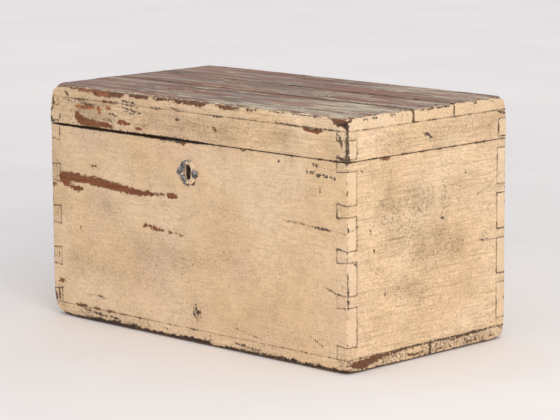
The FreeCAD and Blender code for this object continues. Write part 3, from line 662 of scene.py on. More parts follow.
def fine_slab(name, low, high, edge_cell, face_cell):
    """A closed slab with a fine mesh on every face: a cube, subdivided along each axis in turn."""
    bpy.ops.object.select_all(action="DESELECT")
    bpy.ops.mesh.primitive_cube_add(size=1)
    slab = bpy.context.object
    slab.name = name
    lines = [graded_lines(low[k], high[k], edge_cell, face_cell) for k in range(3)]
    bpy.ops.object.mode_set(mode="EDIT")
    for axis in sorted(range(3), key=lambda k: len(lines[k])):
        quarters = (len(lines[axis]) - 1) // 4
        for cuts in (3, quarters - 1):
            select_edges_along(slab.data, axis)
            bpy.ops.mesh.subdivide(number_cuts=cuts)
    bpy.ops.object.mode_set(mode="OBJECT")
    places = vertex_places(slab.data)
    for axis in range(3):
        index = np.rint((places[:, axis] + 0.5) * (len(lines[axis]) - 1)).astype(int)
        places[:, axis] = lines[axis][index]
    set_places(slab.data, places)
    return slab


def select_edges_along(mesh, axis, slant=1e-4):
    """In edit mode, selects the edges that run along one axis."""
    shape = bmesh.from_edit_mesh(mesh)
    others = [k for k in range(3) if k != axis]
    for edge in shape.edges:
        run = edge.verts[1].co - edge.verts[0].co
        edge.select = all(abs(run[k]) < slant for k in others)
    shape.select_mode = {"EDGE"}
    shape.select_flush_mode()
    bmesh.update_edit_mesh(mesh)


def cut_like(slab, node, low, high, beyond=3 * MM):
    """Cuts a slab to a node's outline and recesses. The tool's outer faces stand clear of it."""
    tool = welded_copy(node, "outline_tool")
    places = vertex_places(tool.data)
    for axis in range(3):
        column = places[:, axis]
        column[column > high[axis] - AT_TOOL_FACE] = high[axis] + beyond
        column[column < low[axis] + AT_TOOL_FACE] = low[axis] - beyond
    set_places(tool.data, places)
    cut(slab, tool, "INTERSECT")


def cut_nail_holes(slab, node, outward, surface, head=1 * MM, beyond=3 * MM):
    """Opens the holes above the punched nails. The tool's heads stand out of the surface."""
    tool = welded_copy(node, "nail_tool")
    places = vertex_places(tool.data)
    heads = np.abs(places[:, Z] - surface) < head
    places[heads, Z] = surface + outward * beyond
    set_places(tool.data, places)
    cut(slab, tool, "DIFFERENCE")


def softened_copy(node, name, bevel, flat=math.radians(0.5), sharp=math.radians(30)):
    """A copy of an iron node with its flat faces cleaned and its sharp edges bevelled."""
    piece = welded_copy(node, name)
    edit_all(piece, bpy.ops.mesh.dissolve_limited, angle_limit=flat)
    apply_modifier(piece, "BEVEL", width=bevel, segments=2, limit_method="ANGLE", angle_limit=sharp)
    return piece


def soften(node, material, bevel):
    """An iron node, softened and finished."""
    finished(softened_copy(node, f"{node}_worn", bevel), node, material)


def loose_parts(mesh):
    """The vertex places of each separate solid in a mesh."""
    shape = bmesh.new()
    shape.from_mesh(mesh)
    shape.verts.ensure_lookup_table()
    left = set(range(len(shape.verts)))
    parts = []
    while left:
        reached = [left.pop()]
        for index in reached:
            for edge in shape.verts[index].link_edges:
                other = edge.other_vert(shape.verts[index]).index
                if other in left:
                    left.remove(other)
                    reached.append(other)
        parts.append(np.array([shape.verts[i].co for i in reached]))
    shape.free()
    return parts


# Wear


def joint_box(nodes):
    """The lowest and highest corner of several nodes together."""
    corners = [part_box(node) for node in nodes]
    return np.min([c[0] for c in corners], axis=0), np.max([c[1] for c in corners], axis=0)


def eased(values, low, high):
    share = np.clip((values - low) / (high - low), 0, 1)
    return share * share * (3 - 2 * share)


def uneven(places, size, seed):
    """Smooth random values from -1 to 1, the same for the same place, with features of about that size."""
    scaled = places / size + seed * SEED_STEP
    cell = np.floor(scaled).astype(np.int64)
    share = eased(scaled - cell, 0, 1)
    total = np.zeros(len(places))
    for corner in itertools.product((0, 1), repeat=3):
        mixed = ((cell + corner) * SHUFFLE_AXES).sum(axis=1)
        mixed = ((mixed ^ (mixed >> 13)) * SHUFFLE) & SHUFFLE_TOP
        weight = np.prod(np.where(corner, share, 1 - share), axis=1)
        total += weight * (mixed / (SHUFFLE_TOP // 2) - 1)
    return total


def rounded(places, low, high, radius):
    """Places pulled in to a box whose edges are rounded by a radius that differs from place to place."""
    radius = radius[:, None]
    core = np.clip(places, low + radius, high - radius)
    out = places - core
    reach = np.linalg.norm(out, axis=1)[:, None]
    return core + out * np.minimum(1, radius / np.maximum(reach, 1e-9))


def inside_path(along, height, path):
    """How far inside a path's width each place lies, in millimetres, and less than 0 outside it."""
    depth = np.full(len(along), -np.inf)
    for (a0, h0, w0), (a1, h1, w1) in zip(path, path[1:]):
        run, rise = a1 - a0, h1 - h0
        share = np.clip(((along - a0) * run + (height - h0) * rise) / (run * run + rise * rise), 0, 1)
        gap = np.hypot(along - a0 - share * run, height - h0 - share * rise)
        depth = np.maximum(depth, w0 + (w1 - w0) * share - gap)
    return depth


class Shell:
    """The outer box that boards are part of, with what lies on it."""

    def __init__(self, nodes, spots, edge_round, edge_at_top):
        self.low, self.high = joint_box(nodes)
        self.spots = spots
        self.edge_round = edge_round
        self.edge_at_top = edge_at_top
        self.level_name = "top" if edge_at_top else "underside"

    def faces(self):
        """Name, axis and plane of each painted face."""
        return (
            ("front", Y, self.low[Y]), ("back", Y, self.high[Y]),
            ("left", X, self.low[X]), ("right", X, self.high[X]),
        )

    def worn_level(self):
        return self.high[Z] if self.edge_at_top else self.low[Z]

    def radius(self, places, wear):
        """The rounding at each place: that of the uprights, easing into that of the worn edge."""
        away = np.abs(places[:, Z] - self.worn_level())
        extra = self.edge_round - wear.upright_round
        radius = wear.upright_round + extra * np.exp(-away / wear.round_fade)
        radius *= 1 + 0.22 * uneven(places, 24 * MM, seed=5) + 0.16 * uneven(places, 7 * MM, seed=6)
        for spot in self.spots:
            off = (places / MM - spot.place) / spot.reach
            radius += spot.growth * MM * np.exp(-(off * off).sum(axis=1))
        return radius

    def open_box(self):
        """The box for rounding, with no edge at the seam."""
        low, high = self.low.copy(), self.high.copy()
        if self.edge_at_top:
            low[Z] = -np.inf
        else:
            high[Z] = np.inf
        return low, high

    def on_faces(self, places):
        """Which places lie on each painted face, and on the level face with the worn edge."""
        faces = (*self.faces(), (self.level_name, Z, self.worn_level()))
        return {name: np.abs(places[:, axis] - plane) < ON_FACE for name, axis, plane in faces}


def seam_run(places):
    """How much the seam has worn at each place along the front: most left of the middle."""
    along = places[:, X]
    grown = eased(along, *SEAM_OPENS) * (0.7 + 0.3 * eased(along, *SEAM_WIDENS))
    grown *= 1 - eased(along, *SEAM_CLOSES)
    return (places[:, Y] < SEAM_FRONT) * (0.12 + 0.88 * grown)


def seam_level():
    return (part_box("front_board")[1].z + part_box("lid_front_rail")[0].z) / 2


def seam_shift(places, wear, reach=5 * MM):
    """How far each place has worn away from the seam, up or down."""
    away = places[:, Z] - seam_level()
    at_front = eased(-places[:, Y], *SEAM_FRONT_FADE)
    uneven_gap = wear.seam_gap * (1 + 0.35 * uneven(places, 10 * MM, seed=21))
    return np.sign(away) * uneven_gap * seam_run(places) * at_front * np.exp(-np.abs(away) / reach)


def seam_dirt_and_shade(places, shell, near=0.4 * MM, width=1, worn_width=4, fade=4):
    """How far inside the dark strip of dirt and painted shade on the seam's two faces each place lies, in
    millimetres.
    """
    at_seam = np.abs(places[:, Z] - seam_level()) < near
    inside = width + worn_width * seam_run(places) - (places[:, Y] - shell.low[Y]) / MM
    return np.where(at_seam & (inside > -fade), inside, UNMARKED)


def arris_radius(places, wear, reach=1.5 * MM, least=0.05 * MM):
    """The rounding of a board's own edges, with more along the open joint and the front of the seam."""
    radius = wear.arris * (1 + 0.8 * uneven(places, 9 * MM, seed=1) + 0.4 * uneven(places, 3 * MM, seed=4))
    near_seam = np.exp(-np.abs(places[:, Z] - seam_level()) / reach)
    radius += wear.seam_wear * near_seam * seam_run(places) * (1 + 0.4 * uneven(places, 14 * MM, seed=2))
    plank_low, plank_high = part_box("lid_front_plank")
    joint = (plank_high.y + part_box("lid_middle_plank")[0].y) / 2
    near_joint = np.exp(-np.abs(places[:, Y] - joint) / reach) * (places[:, Z] > plank_low.z)
    radius += wear.plank_joint_wear * near_joint * (1 + 0.5 * uneven(places, 18 * MM, seed=3))
    return np.maximum(radius, least)


def edge_gaps(mesh, places, planes, sharp=0.6, step=0.5 * MM):
    """Each face vertex's distance to the nearest sharp edge in its face. planes counts a vertex's faces."""
    crowd = []
    shape = bmesh.new()
    shape.from_mesh(mesh)
    for edge in shape.edges:
        a, b = edge.verts
        if planes[a.index] == 1 == planes[b.index] and edge.calc_face_angle(0) > sharp:
            steps = max(1, math.ceil(edge.calc_length() / step))
            crowd += [a.co.lerp(b.co, (i + 0.5) / steps) for i in range(steps)]
    shape.free()
    gaps = np.ones(len(places))
    tree = kdtree.KDTree(len(crowd))
    for i, place in enumerate(crowd):
        tree.insert(place, i)
    tree.balance()
    for i in np.nonzero(planes)[0] if crowd else ():
        gaps[i] = tree.find(places[i])[2]
    return gaps


def face_marks(places, on, marks, empty, measure):
    """The strongest mark at each place, from the paths on the faces that it lies on."""
    values = np.full(len(places), empty)
    for name in set(marks) & set(on):
        chosen = on[name]
        along = places[chosen, Y if name in ("left", "right") else X] / MM
        height = places[chosen, Y if name in ("top", "underside") else Z] / MM
        for path in marks[name]:
            values[chosen] = np.maximum(values[chosen], measure(along, height, path))
    return values


def paint_loss(places, on, shell, wear):
    """How far inside a paint loss each place lies, in millimetres: flakes, rubbed edges, level face."""
    loss = face_marks(places, on, PAINT_LOSSES, UNMARKED, inside_path)
    gaps = [np.abs(places[:, axis] - plane) / MM for _, axis, plane in shell.faces()]
    side, end = np.minimum(*gaps[:2]), np.minimum(*gaps[2:])
    level = np.abs(places[:, Z] - shell.worn_level()) / MM
    rough = uneven(places, 6 * MM, seed=11) + 0.6 * uneven(places, 2.5 * MM, seed=12)
    loss = np.maximum(loss, -0.2 - np.maximum(side, end) + 0.9 * rough)
    if shell.edge_at_top:
        over_edge = np.where(on["top"], np.minimum(side, end) - 1.2, -level - 0.6)
        loss = np.maximum(loss, over_edge + 1.1 * rough)
    else:
        # The foot's bare band also shows its painted shade; it stays lower at the ends and at the front
        # left corner
        corner = (places - shell.low) / SOUND_CORNER
        kept = np.exp(-corner[:, X] ** 2 - corner[:, Y] ** 2)
        bare = wear.foot_bare_and_shade / MM * (1 - 0.8 * kept) * (1 + 0.4 * uneven(places, 40 * MM, seed=13))
        bare *= np.where(on["left"] | on["right"], END_FOOT_SHARE, 1)
        loss = np.maximum(loss, np.where(on["underside"], DEEPEST, bare - level + 1.2 * rough))
    return np.clip(loss, -DEEPEST, DEEPEST)


def mark_board(mesh, places, on, shell, wear):
    """Stores what the finish reads at each place, and returns the depths inside paint losses and inside
    dark marks of dirt and painted shade.
    """
    planes = sum(values.astype(int) for values in on.values())
    hole = in_keyhole(places)
    # The seam's worn faces are painted dark: dirt, and painted shade in the gap
    rim = np.where(planes > 0, UNMARKED, seam_dirt_and_shade(places, shell))
    loss = np.where(rim > UNMARKED, DEEPEST, paint_loss(places, on, shell, wear))
    dirt_and_shade = np.maximum(face_marks(places, on, DIRT_AND_SHADE, UNMARKED, inside_path), rim)
    # Deeper in the keyhole, the wall is painted dark as shade
    dirt_and_shade[hole & (places[:, Y] > shell.low[Y] + UNSHADED_HOLE_EDGE)] = DEEPEST
    dirt_and_shade = np.clip(dirt_and_shade, -DEEPEST, DEEPEST)
    board_end = 1 - np.clip(edge_gaps(mesh, places, planes) / JOINT_LINE, 0, 1)
    stored = {
        "outside": (planes > 0) | hole | (rim > 0),
        "paint_loss": loss,
        "dirt_and_shade": dirt_and_shade,
        "smear": face_marks(places, on, SMEARS, 0.0, smear_strength),
        "board_end": np.maximum(board_end, face_marks(places, on, HAIRLINES, 0.0, hairline_strength)),
    }
    for name, values in stored.items():
        set_attribute(mesh, name, values)
    return loss, dirt_and_shade


def worn_places(places, on, loss, dirt_and_shade, shell, wear):
    """Places sunk in where the coat is lost and the wood has weathered, and worn apart at the seam."""
    sunk = wear.unevenness * (0.5 + 0.5 * uneven(places, 60 * MM, seed=8))
    sunk += wear.coat * eased(loss, -0.8, 0.6)
    worn = places.copy()
    for name, axis, plane in shell.faces():
        inward = 1 if plane == shell.low[axis] else -1
        worn[on[name], axis] += inward * sunk[on[name]]
    level = on[shell.level_name]
    inward = -1 if shell.edge_at_top else 1
    worn[level, Z] += inward * level_wear(places, dirt_and_shade, wear)[level]
    worn[:, Z] += seam_shift(places, wear)
    return worn


def dress_board(node, material, shell, wear, nails=None):
    """One board as a fine, worn mesh with its joints cut, its losses sunk in and its finish on."""
    low, high = (np.array(corner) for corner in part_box(node))
    piece = fine_slab(f"{node}_worn", low, high, wear.edge_cell, wear.face_cell)
    if nails:
        cut_nail_holes(piece, nails, 1 if shell.edge_at_top else -1, shell.worn_level())
    else:
        cut_like(piece, node, low, high)
    places = vertex_places(piece.data)
    on = shell.on_faces(places)
    loss, dirt_and_shade = mark_board(piece.data, places, on, shell, wear)
    worn = worn_places(places, on, loss, dirt_and_shade, shell, wear)
    worn = rounded(worn, low, high, arris_radius(places, wear))
    worn = rounded(worn, *shell.open_box(), shell.radius(places, wear))
    set_places(piece.data, worn)
    finished(piece, node, material)


def level_wear(places, dirt_and_shade, wear, check_depth=0.5 * MM):
    """How deep the level faces have weathered: furrows along the grain, and checks."""
    along_grain = places / FURROW_STRETCH
    furrow = 0.5 + 0.35 * uneven(along_grain, 9 * MM, seed=41)
    furrow += 0.3 * uneven(along_grain, 3.6 * MM, seed=42)
    return wear.furrow * np.clip(furrow, 0, 1.2) + check_depth * eased(dirt_and_shade, -1.2, 0.8)


def in_keyhole(places, reach=8.5 * MM, depth=7 * MM):
    """Whether each place lies in the keyhole near the front, where paint has run in and, deeper, shade is
    painted.
    """
    low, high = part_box("escutcheon")
    centre = (low + high) / 2
    off = np.hypot(places[:, X] - centre.x, places[:, Z] - centre.z)
    return (off < reach) & (places[:, Y] < low.y + depth)


def hairline_strength(along, height, path, middle=1.15, fade=1.5, most=0.82):
    """How dark a hairline crack is at each place."""
    line = [(a, h, 0.0) for a, h in path]
    return np.clip(middle + inside_path(along, height, line) / fade, 0, most)


def smear_strength(along, height, path, outer=-14, inner=10):
    """How soiled each place is, from clean outside a cloud to full inside it."""
    return eased(inside_path(along, height, path), outer, inner)


def plate_fall(mesh, places, front, wear, reach=3.4 * MM, dent=0.16 * MM):
    """How far back each place of the plate's face lies: rolled off towards the edges, and dented."""
    face = np.abs(places[:, Y] - front) < AT_TOOL_FACE
    edge = np.clip(1 - edge_gaps(mesh, places, face.astype(int)) / reach, 0, 1)
    fall = wear.plate_roll * (1 - np.sqrt(1 - 0.97 * edge * edge))
    dents = dent * (0.5 + 0.5 * uneven(places, 3.5 * MM, seed=31))
    return face * (fall + dents)


def ears_drawn_in(across, upward, disc, tip, blunting, ear_angle=math.radians(24)):
    """Places on the plate, counted from its middle, with the ears narrowed and their tips blunted."""
    turn = np.arctan2(np.abs(upward), np.abs(across))
    outline = disc / np.cos(np.maximum(math.acos(disc / tip) - turn, 0))
    round_part = 0.97 * disc
    ear = np.clip(1 - turn / ear_angle, 0, 1) ** 1.5
    drawn = np.minimum((round_part + (tip - round_part) * ear) / outline, 1)
    share = eased(np.hypot(across, upward), 0.68 * disc, 0.95 * disc)
    scale = 1 + (drawn - 1) * share
    across, upward = across * scale, upward * scale
    beyond = np.maximum(np.abs(across) - (tip - blunting), 0)
    return across - 0.8 * beyond * np.sign(across), upward


def domed_plate(node, wear):
    """The keyhole plate with its face rolled off and its ears drawn in."""
    low, high = (np.array(corner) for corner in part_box(node))
    piece = fine_slab(f"{node}_worn", low, high, wear.edge_cell, wear.edge_cell)
    cut_like(piece, node, low, high)
    places = vertex_places(piece.data)
    centre, half = (low + high) / 2, (high - low) / 2
    across, upward = places[:, X] - centre[X], places[:, Z] - centre[Z]
    across, upward = ears_drawn_in(across, upward, half[Z], half[X], wear.ear_blunting)
    places[:, Y] += plate_fall(piece.data, places, low[Y], wear)
    places[:, X], places[:, Z] = centre[X] + across, centre[Z] + upward
    set_places(piece.data, places)
    return piece


# Finishes


class Finish:
    """A material being built: short calls that add a node, join it up and hand back its result."""

    def __init__(self, name):
        self.material = bpy.data.materials.new(name)
        self.material.use_nodes = True
        self.tree = self.material.node_tree
        self.shader = self.tree.nodes["Principled BSDF"]
        self.place = self.add("ShaderNodeTexCoord").outputs["Object"]

    def add(self, kind, **settings):
        node = self.tree.nodes.new(kind)
        for name, value in settings.items():
            setattr(node, name, value)
        return node

    def feed(self, socket, value):
        if isinstance(value, bpy.types.NodeSocket):
            self.tree.links.new(value, socket)
        elif socket.type == "RGBA" and len(value) == 3:
            socket.default_value = (*value, 1)
        else:
            socket.default_value = value

    def spot(self, size, stretch=EVEN, shift=0.0):
        """Object coordinates scaled so that one unit is one feature of that size."""
        node = self.add("ShaderNodeMapping")
        self.feed(node.inputs["Vector"], self.place)
        node.inputs["Scale"].default_value = [1 / (size * MM * s) for s in stretch]
        node.inputs["Location"].default_value = (shift, shift * 1.7, shift * 2.3)
        return node.outputs[0]

    def noise(self, size, stretch=EVEN, detail=3.0, roughness=0.55, shift=0.0, distortion=0.0):
        node = self.add("ShaderNodeTexNoise")
        self.feed(node.inputs["Vector"], self.spot(size, stretch, shift))
        settings = {"Scale": 1.0, "Detail": detail, "Roughness": roughness, "Distortion": distortion}
        for name, value in settings.items():
            node.inputs[name].default_value = value
        return node.outputs[0]

    def cracks(self, size, shift=0.0, wander=0.35):
        """Distance from the lines of a crackled net, in cells."""
        wandering = self.add("ShaderNodeTexNoise")
        base = self.spot(size, EVEN, shift)
        self.feed(wandering.inputs["Vector"], base)
        wandering.inputs["Scale"].default_value = 1.3
        bent = self.add("ShaderNodeVectorMath", operation="MULTIPLY_ADD")
        self.feed(bent.inputs[0], wandering.outputs[1])
        bent.inputs[1].default_value = (wander, wander, wander)
        self.feed(bent.inputs[2], base)
        node = self.add("ShaderNodeTexVoronoi", feature="DISTANCE_TO_EDGE")
        self.feed(node.inputs["Vector"], bent.outputs[0])
        node.inputs["Scale"].default_value = 1.0
        return node.outputs["Distance"]

    def cells(self, size, shift=0.0):
        """A random value in each of many angular cells."""
        node = self.add("ShaderNodeTexVoronoi")
        self.feed(node.inputs["Vector"], self.spot(size, EVEN, shift))
        node.inputs["Scale"].default_value = 1.0
        return node.outputs["Color"]

    def attribute(self, name):
        return self.add("ShaderNodeAttribute", attribute_name=name).outputs["Fac"]

    def coordinate(self, axis):
        node = self.add("ShaderNodeSeparateXYZ")
        self.feed(node.inputs[0], self.place)
        return node.outputs[axis]

    def from_middle(self, axis):
        return self.calc("ABSOLUTE", self.coordinate(axis))

    def away_from(self, point, scale):
        """Distance from a point, with each axis scaled first."""
        scaled = self.add("ShaderNodeVectorMath", operation="MULTIPLY")
        self.feed(scaled.inputs[0], self.place)
        scaled.inputs[1].default_value = scale
        gap = self.add("ShaderNodeVectorMath", operation="DISTANCE")
        self.feed(gap.inputs[0], scaled.outputs[0])
        gap.inputs[1].default_value = [p * s for p, s in zip(point, scale)]
        return gap.outputs["Value"]

    def calc(self, operation, *values):
        node = self.add("ShaderNodeMath", operation=operation)
        for socket, value in zip(node.inputs, values):
            self.feed(socket, value)
        return node.outputs[0]

    def chain(self, operation, values):
        return functools.reduce(functools.partial(self.calc, operation), values)

    def product(self, *values):
        return self.chain("MULTIPLY", values)

    def total(self, *values):
        return self.chain("ADD", values)

    def most(self, *values):
        return self.chain("MAXIMUM", values)

    def swing(self, value, share):
        """How far a noise value lies from its middle, times a share."""
        return self.product(self.total(value, -0.5), share)

    def eased(self, value, low, high, result_low=0.0, result_high=1.0):
        node = self.add("ShaderNodeMapRange", interpolation_type="SMOOTHSTEP")
        for socket, part in zip(node.inputs, (value, low, high, result_low, result_high)):
            self.feed(socket, part)
        return node.outputs[0]

    def patches(self, size, low, high, result_low=0.0, result_high=1.0, **noise):
        """Noise that eases from one result to the other between two of its levels."""
        return self.eased(self.noise(size, **noise), low, high, result_low, result_high)

    def mix(self, share, first, second, blend="MIX"):
        node = self.add("ShaderNodeMix", data_type="RGBA", blend_type=blend)
        self.feed(node.inputs[0], share)
        self.feed(node.inputs[6], first)
        self.feed(node.inputs[7], second)
        return node.outputs[2]

    def blend(self, share, first, second):
        """A mix of two plain values."""
        node = self.add("ShaderNodeMix", data_type="FLOAT")
        self.feed(node.inputs[0], share)
        self.feed(node.inputs[2], first)
        self.feed(node.inputs[3], second)
        return node.outputs[0]

    def lit(self, colour, value):
        """A colour made darker or lighter by a value about 1."""
        return self.mix(1.0, colour, value, "MULTIPLY")

    def done(self, colour, roughness, height, relief):
        self.feed(self.shader.inputs["Base Color"], colour)
        self.feed(self.shader.inputs["Roughness"], roughness)
        bump = self.add("ShaderNodeBump")
        bump.inputs["Strength"].default_value = 1.0
        bump.inputs["Distance"].default_value = relief * MM
        self.feed(bump.inputs["Height"], height)
        self.feed(self.shader.inputs["Normal"], bump.outputs[0])
        return self.material


def shorter(grain, most):
    """A grain whose streaks are at most that many times longer than wide."""
    return tuple(min(stretch, most) for stretch in grain)


def paint_coat(f, colours, grain, mottle):
    """The aged coat: its colour, and its height where brush, cracks and pits have left their marks."""
    smear = f.attribute("smear")
    grit = f.noise(2.4, shorter(grain, 3), detail=5, roughness=0.75, shift=15)
    fine = f.noise(0.9, detail=3, shift=9)
    brushed = f.noise(1.3, grain, detail=3, shift=2)
    combed = f.noise(0.8, UPRIGHT, detail=3, shift=24)

    # Yellowed, thin, soiled and clean patches
    colour = f.mix(f.patches(95, 0.36, 0.64, detail=2), colours.cream, colours.cream_warm)
    pinkish = f.patches(60, 0.5, 0.7, detail=3, shift=12)
    colour = f.mix(f.product(pinkish, 0.4), colour, colours.cream_pink)
    cloud = f.noise(38, detail=5, roughness=0.6, shift=3)
    soil = f.total(f.product(cloud, 0.7), f.product(smear, 0.12), f.product(grit, 0.9))
    colour = f.mix(f.eased(soil, 0.78, 1.12, 0.0, 0.35 + 0.3 * mottle), colour, colours.grime)
    streak = f.patches(2.2, 0.52, 0.74, stretch=grain, detail=5, shift=26)
    colour = f.mix(f.product(streak, 0.1 + 0.35 * mottle), colour, colours.grime)
    fleck = f.patches(3.0, 0.55, 0.7, detail=5, roughness=0.75, shift=28)
    colour = f.mix(f.product(fleck, 0.2 + 0.4 * mottle), colour, colours.cream_pale)

    # Brush marks and speckle
    drawn, speckled = 0.05 + 0.06 * mottle, 0.09 + 0.08 * mottle
    for value, spread in ((brushed, drawn), (fine, speckled), (combed, 0.03), (grit, speckled)):
        colour = f.lit(colour, f.eased(value, 0.28, 0.72, 1 - spread, 1 + spread))

    # Cracks, dark strokes and pits
    net = f.eased(f.cracks(4.2, shift=4), 0.0, 0.07, 1.0, 0.0)
    cracked = f.product(net, f.patches(34, 0.45, 0.65, detail=3, shift=5))
    colour = f.mix(f.product(cracked, 0.26), colour, colours.speck)
    stroke = f.noise(1.1, shorter(grain, 4), detail=4, roughness=0.7, shift=29)
    stroke = f.total(stroke, f.product(smear, 0.06))
    colour = f.mix(f.eased(stroke, 0.56, 0.72, 0.0, 0.2 + 0.25 * mottle), colour, colours.speck)
    rare = 0.69 - 0.06 * mottle
    pits = f.eased(f.total(f.noise(1.9, detail=2, shift=6), f.product(smear, 0.04)), rare, rare + 0.05)
    pitted = f.total(f.noise(22, detail=3, shift=8), f.product(smear, 0.1))
    pits = f.product(pits, f.eased(pitted, 0.42, 0.6))
    colour = f.mix(f.product(pits, 0.58), colour, colours.speck)
    marks = ((brushed, 0.25), (grit, 0.3), (cracked, -0.3), (pits, -0.45))
    return colour, f.total(*(f.product(value, depth) for value, depth in marks))


def flaked_wood(f, colours, grain):
    """Red brown wood where the paint has come off, freshly bared at the left end of the lid's front."""
    streak = f.noise(1.8, grain, detail=4, shift=21)
    colour = f.mix(f.eased(streak, 0.35, 0.7), colours.bare, colours.bare_dark)
    to_left = f.eased(f.coordinate(X), *FRESH_LEFT_OF)
    high = f.eased(f.coordinate(Z), *FRESH_ABOVE)
    fresh = f.product(f.patches(9, 0.4, 0.56, detail=3, shift=22), to_left, high, 0.85)
    return f.mix(fresh, colour, colours.bare_orange), streak


def plain_wood(f, colours, grain):
    """Unpainted wood that has only darkened."""
    streak = f.noise(2.6, grain, detail=5, shift=31, distortion=0.6)
    ring = f.noise(11, grain, detail=2, shift=33, distortion=1.2)
    colour = f.mix(f.eased(streak, 0.38, 0.7), colours.inside, colours.inside_dark)
    colour = f.lit(colour, f.eased(ring, 0.3, 0.7, 0.82, 1.08))
    return f.lit(colour, f.patches(70, 0.3, 0.7, 0.8, 1.08, detail=4, shift=35)), streak


def weathered_wood(f, colours, grain):
    """Grey and red brown wood of the top, checked along the grain."""
    long_grain = tuple(2.2 * stretch if stretch > 1 else stretch for stretch in grain)
    band = f.patches(12, 0.42, 0.58, stretch=shorter(grain, 14), detail=4, shift=41)
    streak = f.noise(2.8, long_grain, detail=5, roughness=0.65, shift=43)
    blotch = f.patches(24, 0.32, 0.68, 0.74, 1.22, stretch=shorter(grain, 4), detail=4, shift=47)
    check = f.patches(1.6, 0.63, 0.71, stretch=long_grain, detail=2, shift=45)
    colour = f.mix(band, colours.weathered, colours.weathered_red)
    colour = f.mix(f.eased(streak, 0.48, 0.7, 0.0, 0.85), colour, colours.weathered_dark)
    colour = f.mix(f.product(check, 0.85), f.lit(colour, blotch), colours.crevice)
    return colour, f.total(f.product(streak, -0.6), f.product(check, -0.9))


def ragged(f, name, grain, depth, size=3.8):
    """A stored depth inside marks, frayed a little along the grain and broken off in angular flakes."""
    fray = f.noise(size, shorter(grain, 2.2), detail=5, roughness=0.65, shift=51)
    nibble = f.noise(0.37 * size, detail=3, shift=53)
    flake = f.cells(0.65 * size, shift=57)
    swings = (f.swing(fray, depth), f.swing(nibble, 0.5 * depth), f.swing(flake, 0.3 * depth))
    return f.total(f.attribute(name), *swings)


def crackled_off(f):
    """Where the foot's coat has broken into islands: all over the ends, and in patches elsewhere."""
    net = f.eased(f.cracks(3.1, shift=17, wander=0.7), 0.06, 0.2, 1.0, 0.0)
    mottle = f.noise(2.0, detail=4, roughness=0.7, shift=18)
    lines = f.product(net, f.eased(mottle, 0.42, 0.58))
    spots = f.eased(mottle, 0.58, 0.64)
    at_end = f.eased(f.from_middle(X), *CRACKLED_ENDS, 0.0, 0.16)
    region = f.total(f.noise(28, detail=4, shift=19), at_end)
    return f.product(f.most(lines, spots), f.eased(region, 0.54, 0.68))


def rubbed_and_shaded_foot(f, colours, flaked, bare, inner):
    """Where the foot has lost its coat, and what shows: rubbed wood with painted shade, darker towards the
    bottom edge where the box meets the floor, and dirty wood underneath.
    """
    height = f.coordinate(Z)
    under = f.eased(height, *UNDER_FOOT)
    at_end = f.eased(f.from_middle(X), *FOOT_SHADE_ENDS)
    # Painted shade: the rubbed wood darkens towards the bottom edge, over a lower band at the ends
    shade_low, shade_high = f.blend(at_end, 3 * MM, 1 * MM), f.blend(at_end, 8 * MM, 4 * MM)
    brown = f.mix(0.6, bare, colours.speck)
    bare = f.mix(f.eased(height, shade_low, shade_high), colours.foot, brown)
    dirty = f.lit(inner, f.patches(26, 0.3, 0.7, 0.42, 0.72, detail=4, shift=37))
    return f.most(flaked, crackled_off(f), under), f.mix(under, bare, dirty)


def joint_dirt(f):
    """Dirt beside the joints: how dark its broken lines are, and how far grime has spread from them."""
    near = f.attribute("board_end")
    broken = f.patches(15, 0.38, 0.62, 0.1, 0.95, detail=4, shift=67)
    thin = f.product(f.eased(near, 0.66, 0.92), broken)
    rough = f.product(f.noise(2.2, detail=4, shift=65), 0.9)
    break_up = f.total(f.noise(14, detail=3, shift=63), rough, -0.95)
    spread = f.total(near, f.product(break_up, 2.2))
    return f.most(thin, f.eased(spread, 0.72, 1.06)), f.eased(spread, -0.1, 0.8, 0.0, 0.3)


def painted_board(name, colours, grain, mottle, weathered=False, foot=False):
    """Paint over wood, with a weathered level face, or a rubbed foot with painted shade along its bottom
    edge, where asked for.
    """
    f = Finish(name)
    coat, coat_height = paint_coat(f, colours, grain, mottle)
    bare, bare_height = flaked_wood(f, colours, grain)
    inner, inner_height = plain_wood(f, colours, grain)
    if grain is ALONG_X:
        end_grain = f.eased(f.from_middle(X), *END_GRAIN)
        coat = f.mix(f.product(end_grain, 0.18), coat, colours.cream_pale)
    loss = ragged(f, "paint_loss", grain, 6.5)
    flaked = f.eased(loss, -0.15, 0.15)
    coat = f.mix(f.eased(loss, -1.4, -0.1, 0.0, 0.4), coat, colours.grime)
    if weathered:
        bare, bare_height = worn_top(f, colours, grain, loss, bare, bare_height)
    if foot:
        flaked, bare = rubbed_and_shaded_foot(f, colours, flaked, bare, inner)
    colour = f.mix(flaked, coat, bare)
    # Dark colour for dirt and joints, and for the painted shade in the seam, the keyhole and under the
    # keyhole plate
    grime_and_shade = f.mix(f.patches(6, 0.46, 0.68, detail=3, shift=61), colours.crevice, colours.speck)
    dirt_and_shade = f.eased(ragged(f, "dirt_and_shade", EVEN, 6.0, 2.4), -0.1, 0.3)
    colour = f.mix(f.product(dirt_and_shade, 0.94), colour, grime_and_shade)
    joint, dusty = joint_dirt(f)
    colour = f.mix(dusty, colour, colours.grime)
    colour = f.mix(f.product(joint, 0.85), colour, grime_and_shade)
    outside = f.eased(f.attribute("outside"), 0.4, 0.6)
    colour = f.mix(outside, inner, colour)
    painted = f.product(outside, f.calc("SUBTRACT", 1.0, flaked))
    shown = f.blend(flaked, f.total(coat_height, 1.0), f.product(bare_height, 0.4))
    sunk = f.product(f.most(joint, dirt_and_shade), -0.8)
    height = f.blend(outside, f.product(inner_height, 0.4), f.total(shown, sunk))
    return f.done(colour, f.blend(painted, 0.82, 0.6), height, 0.28)


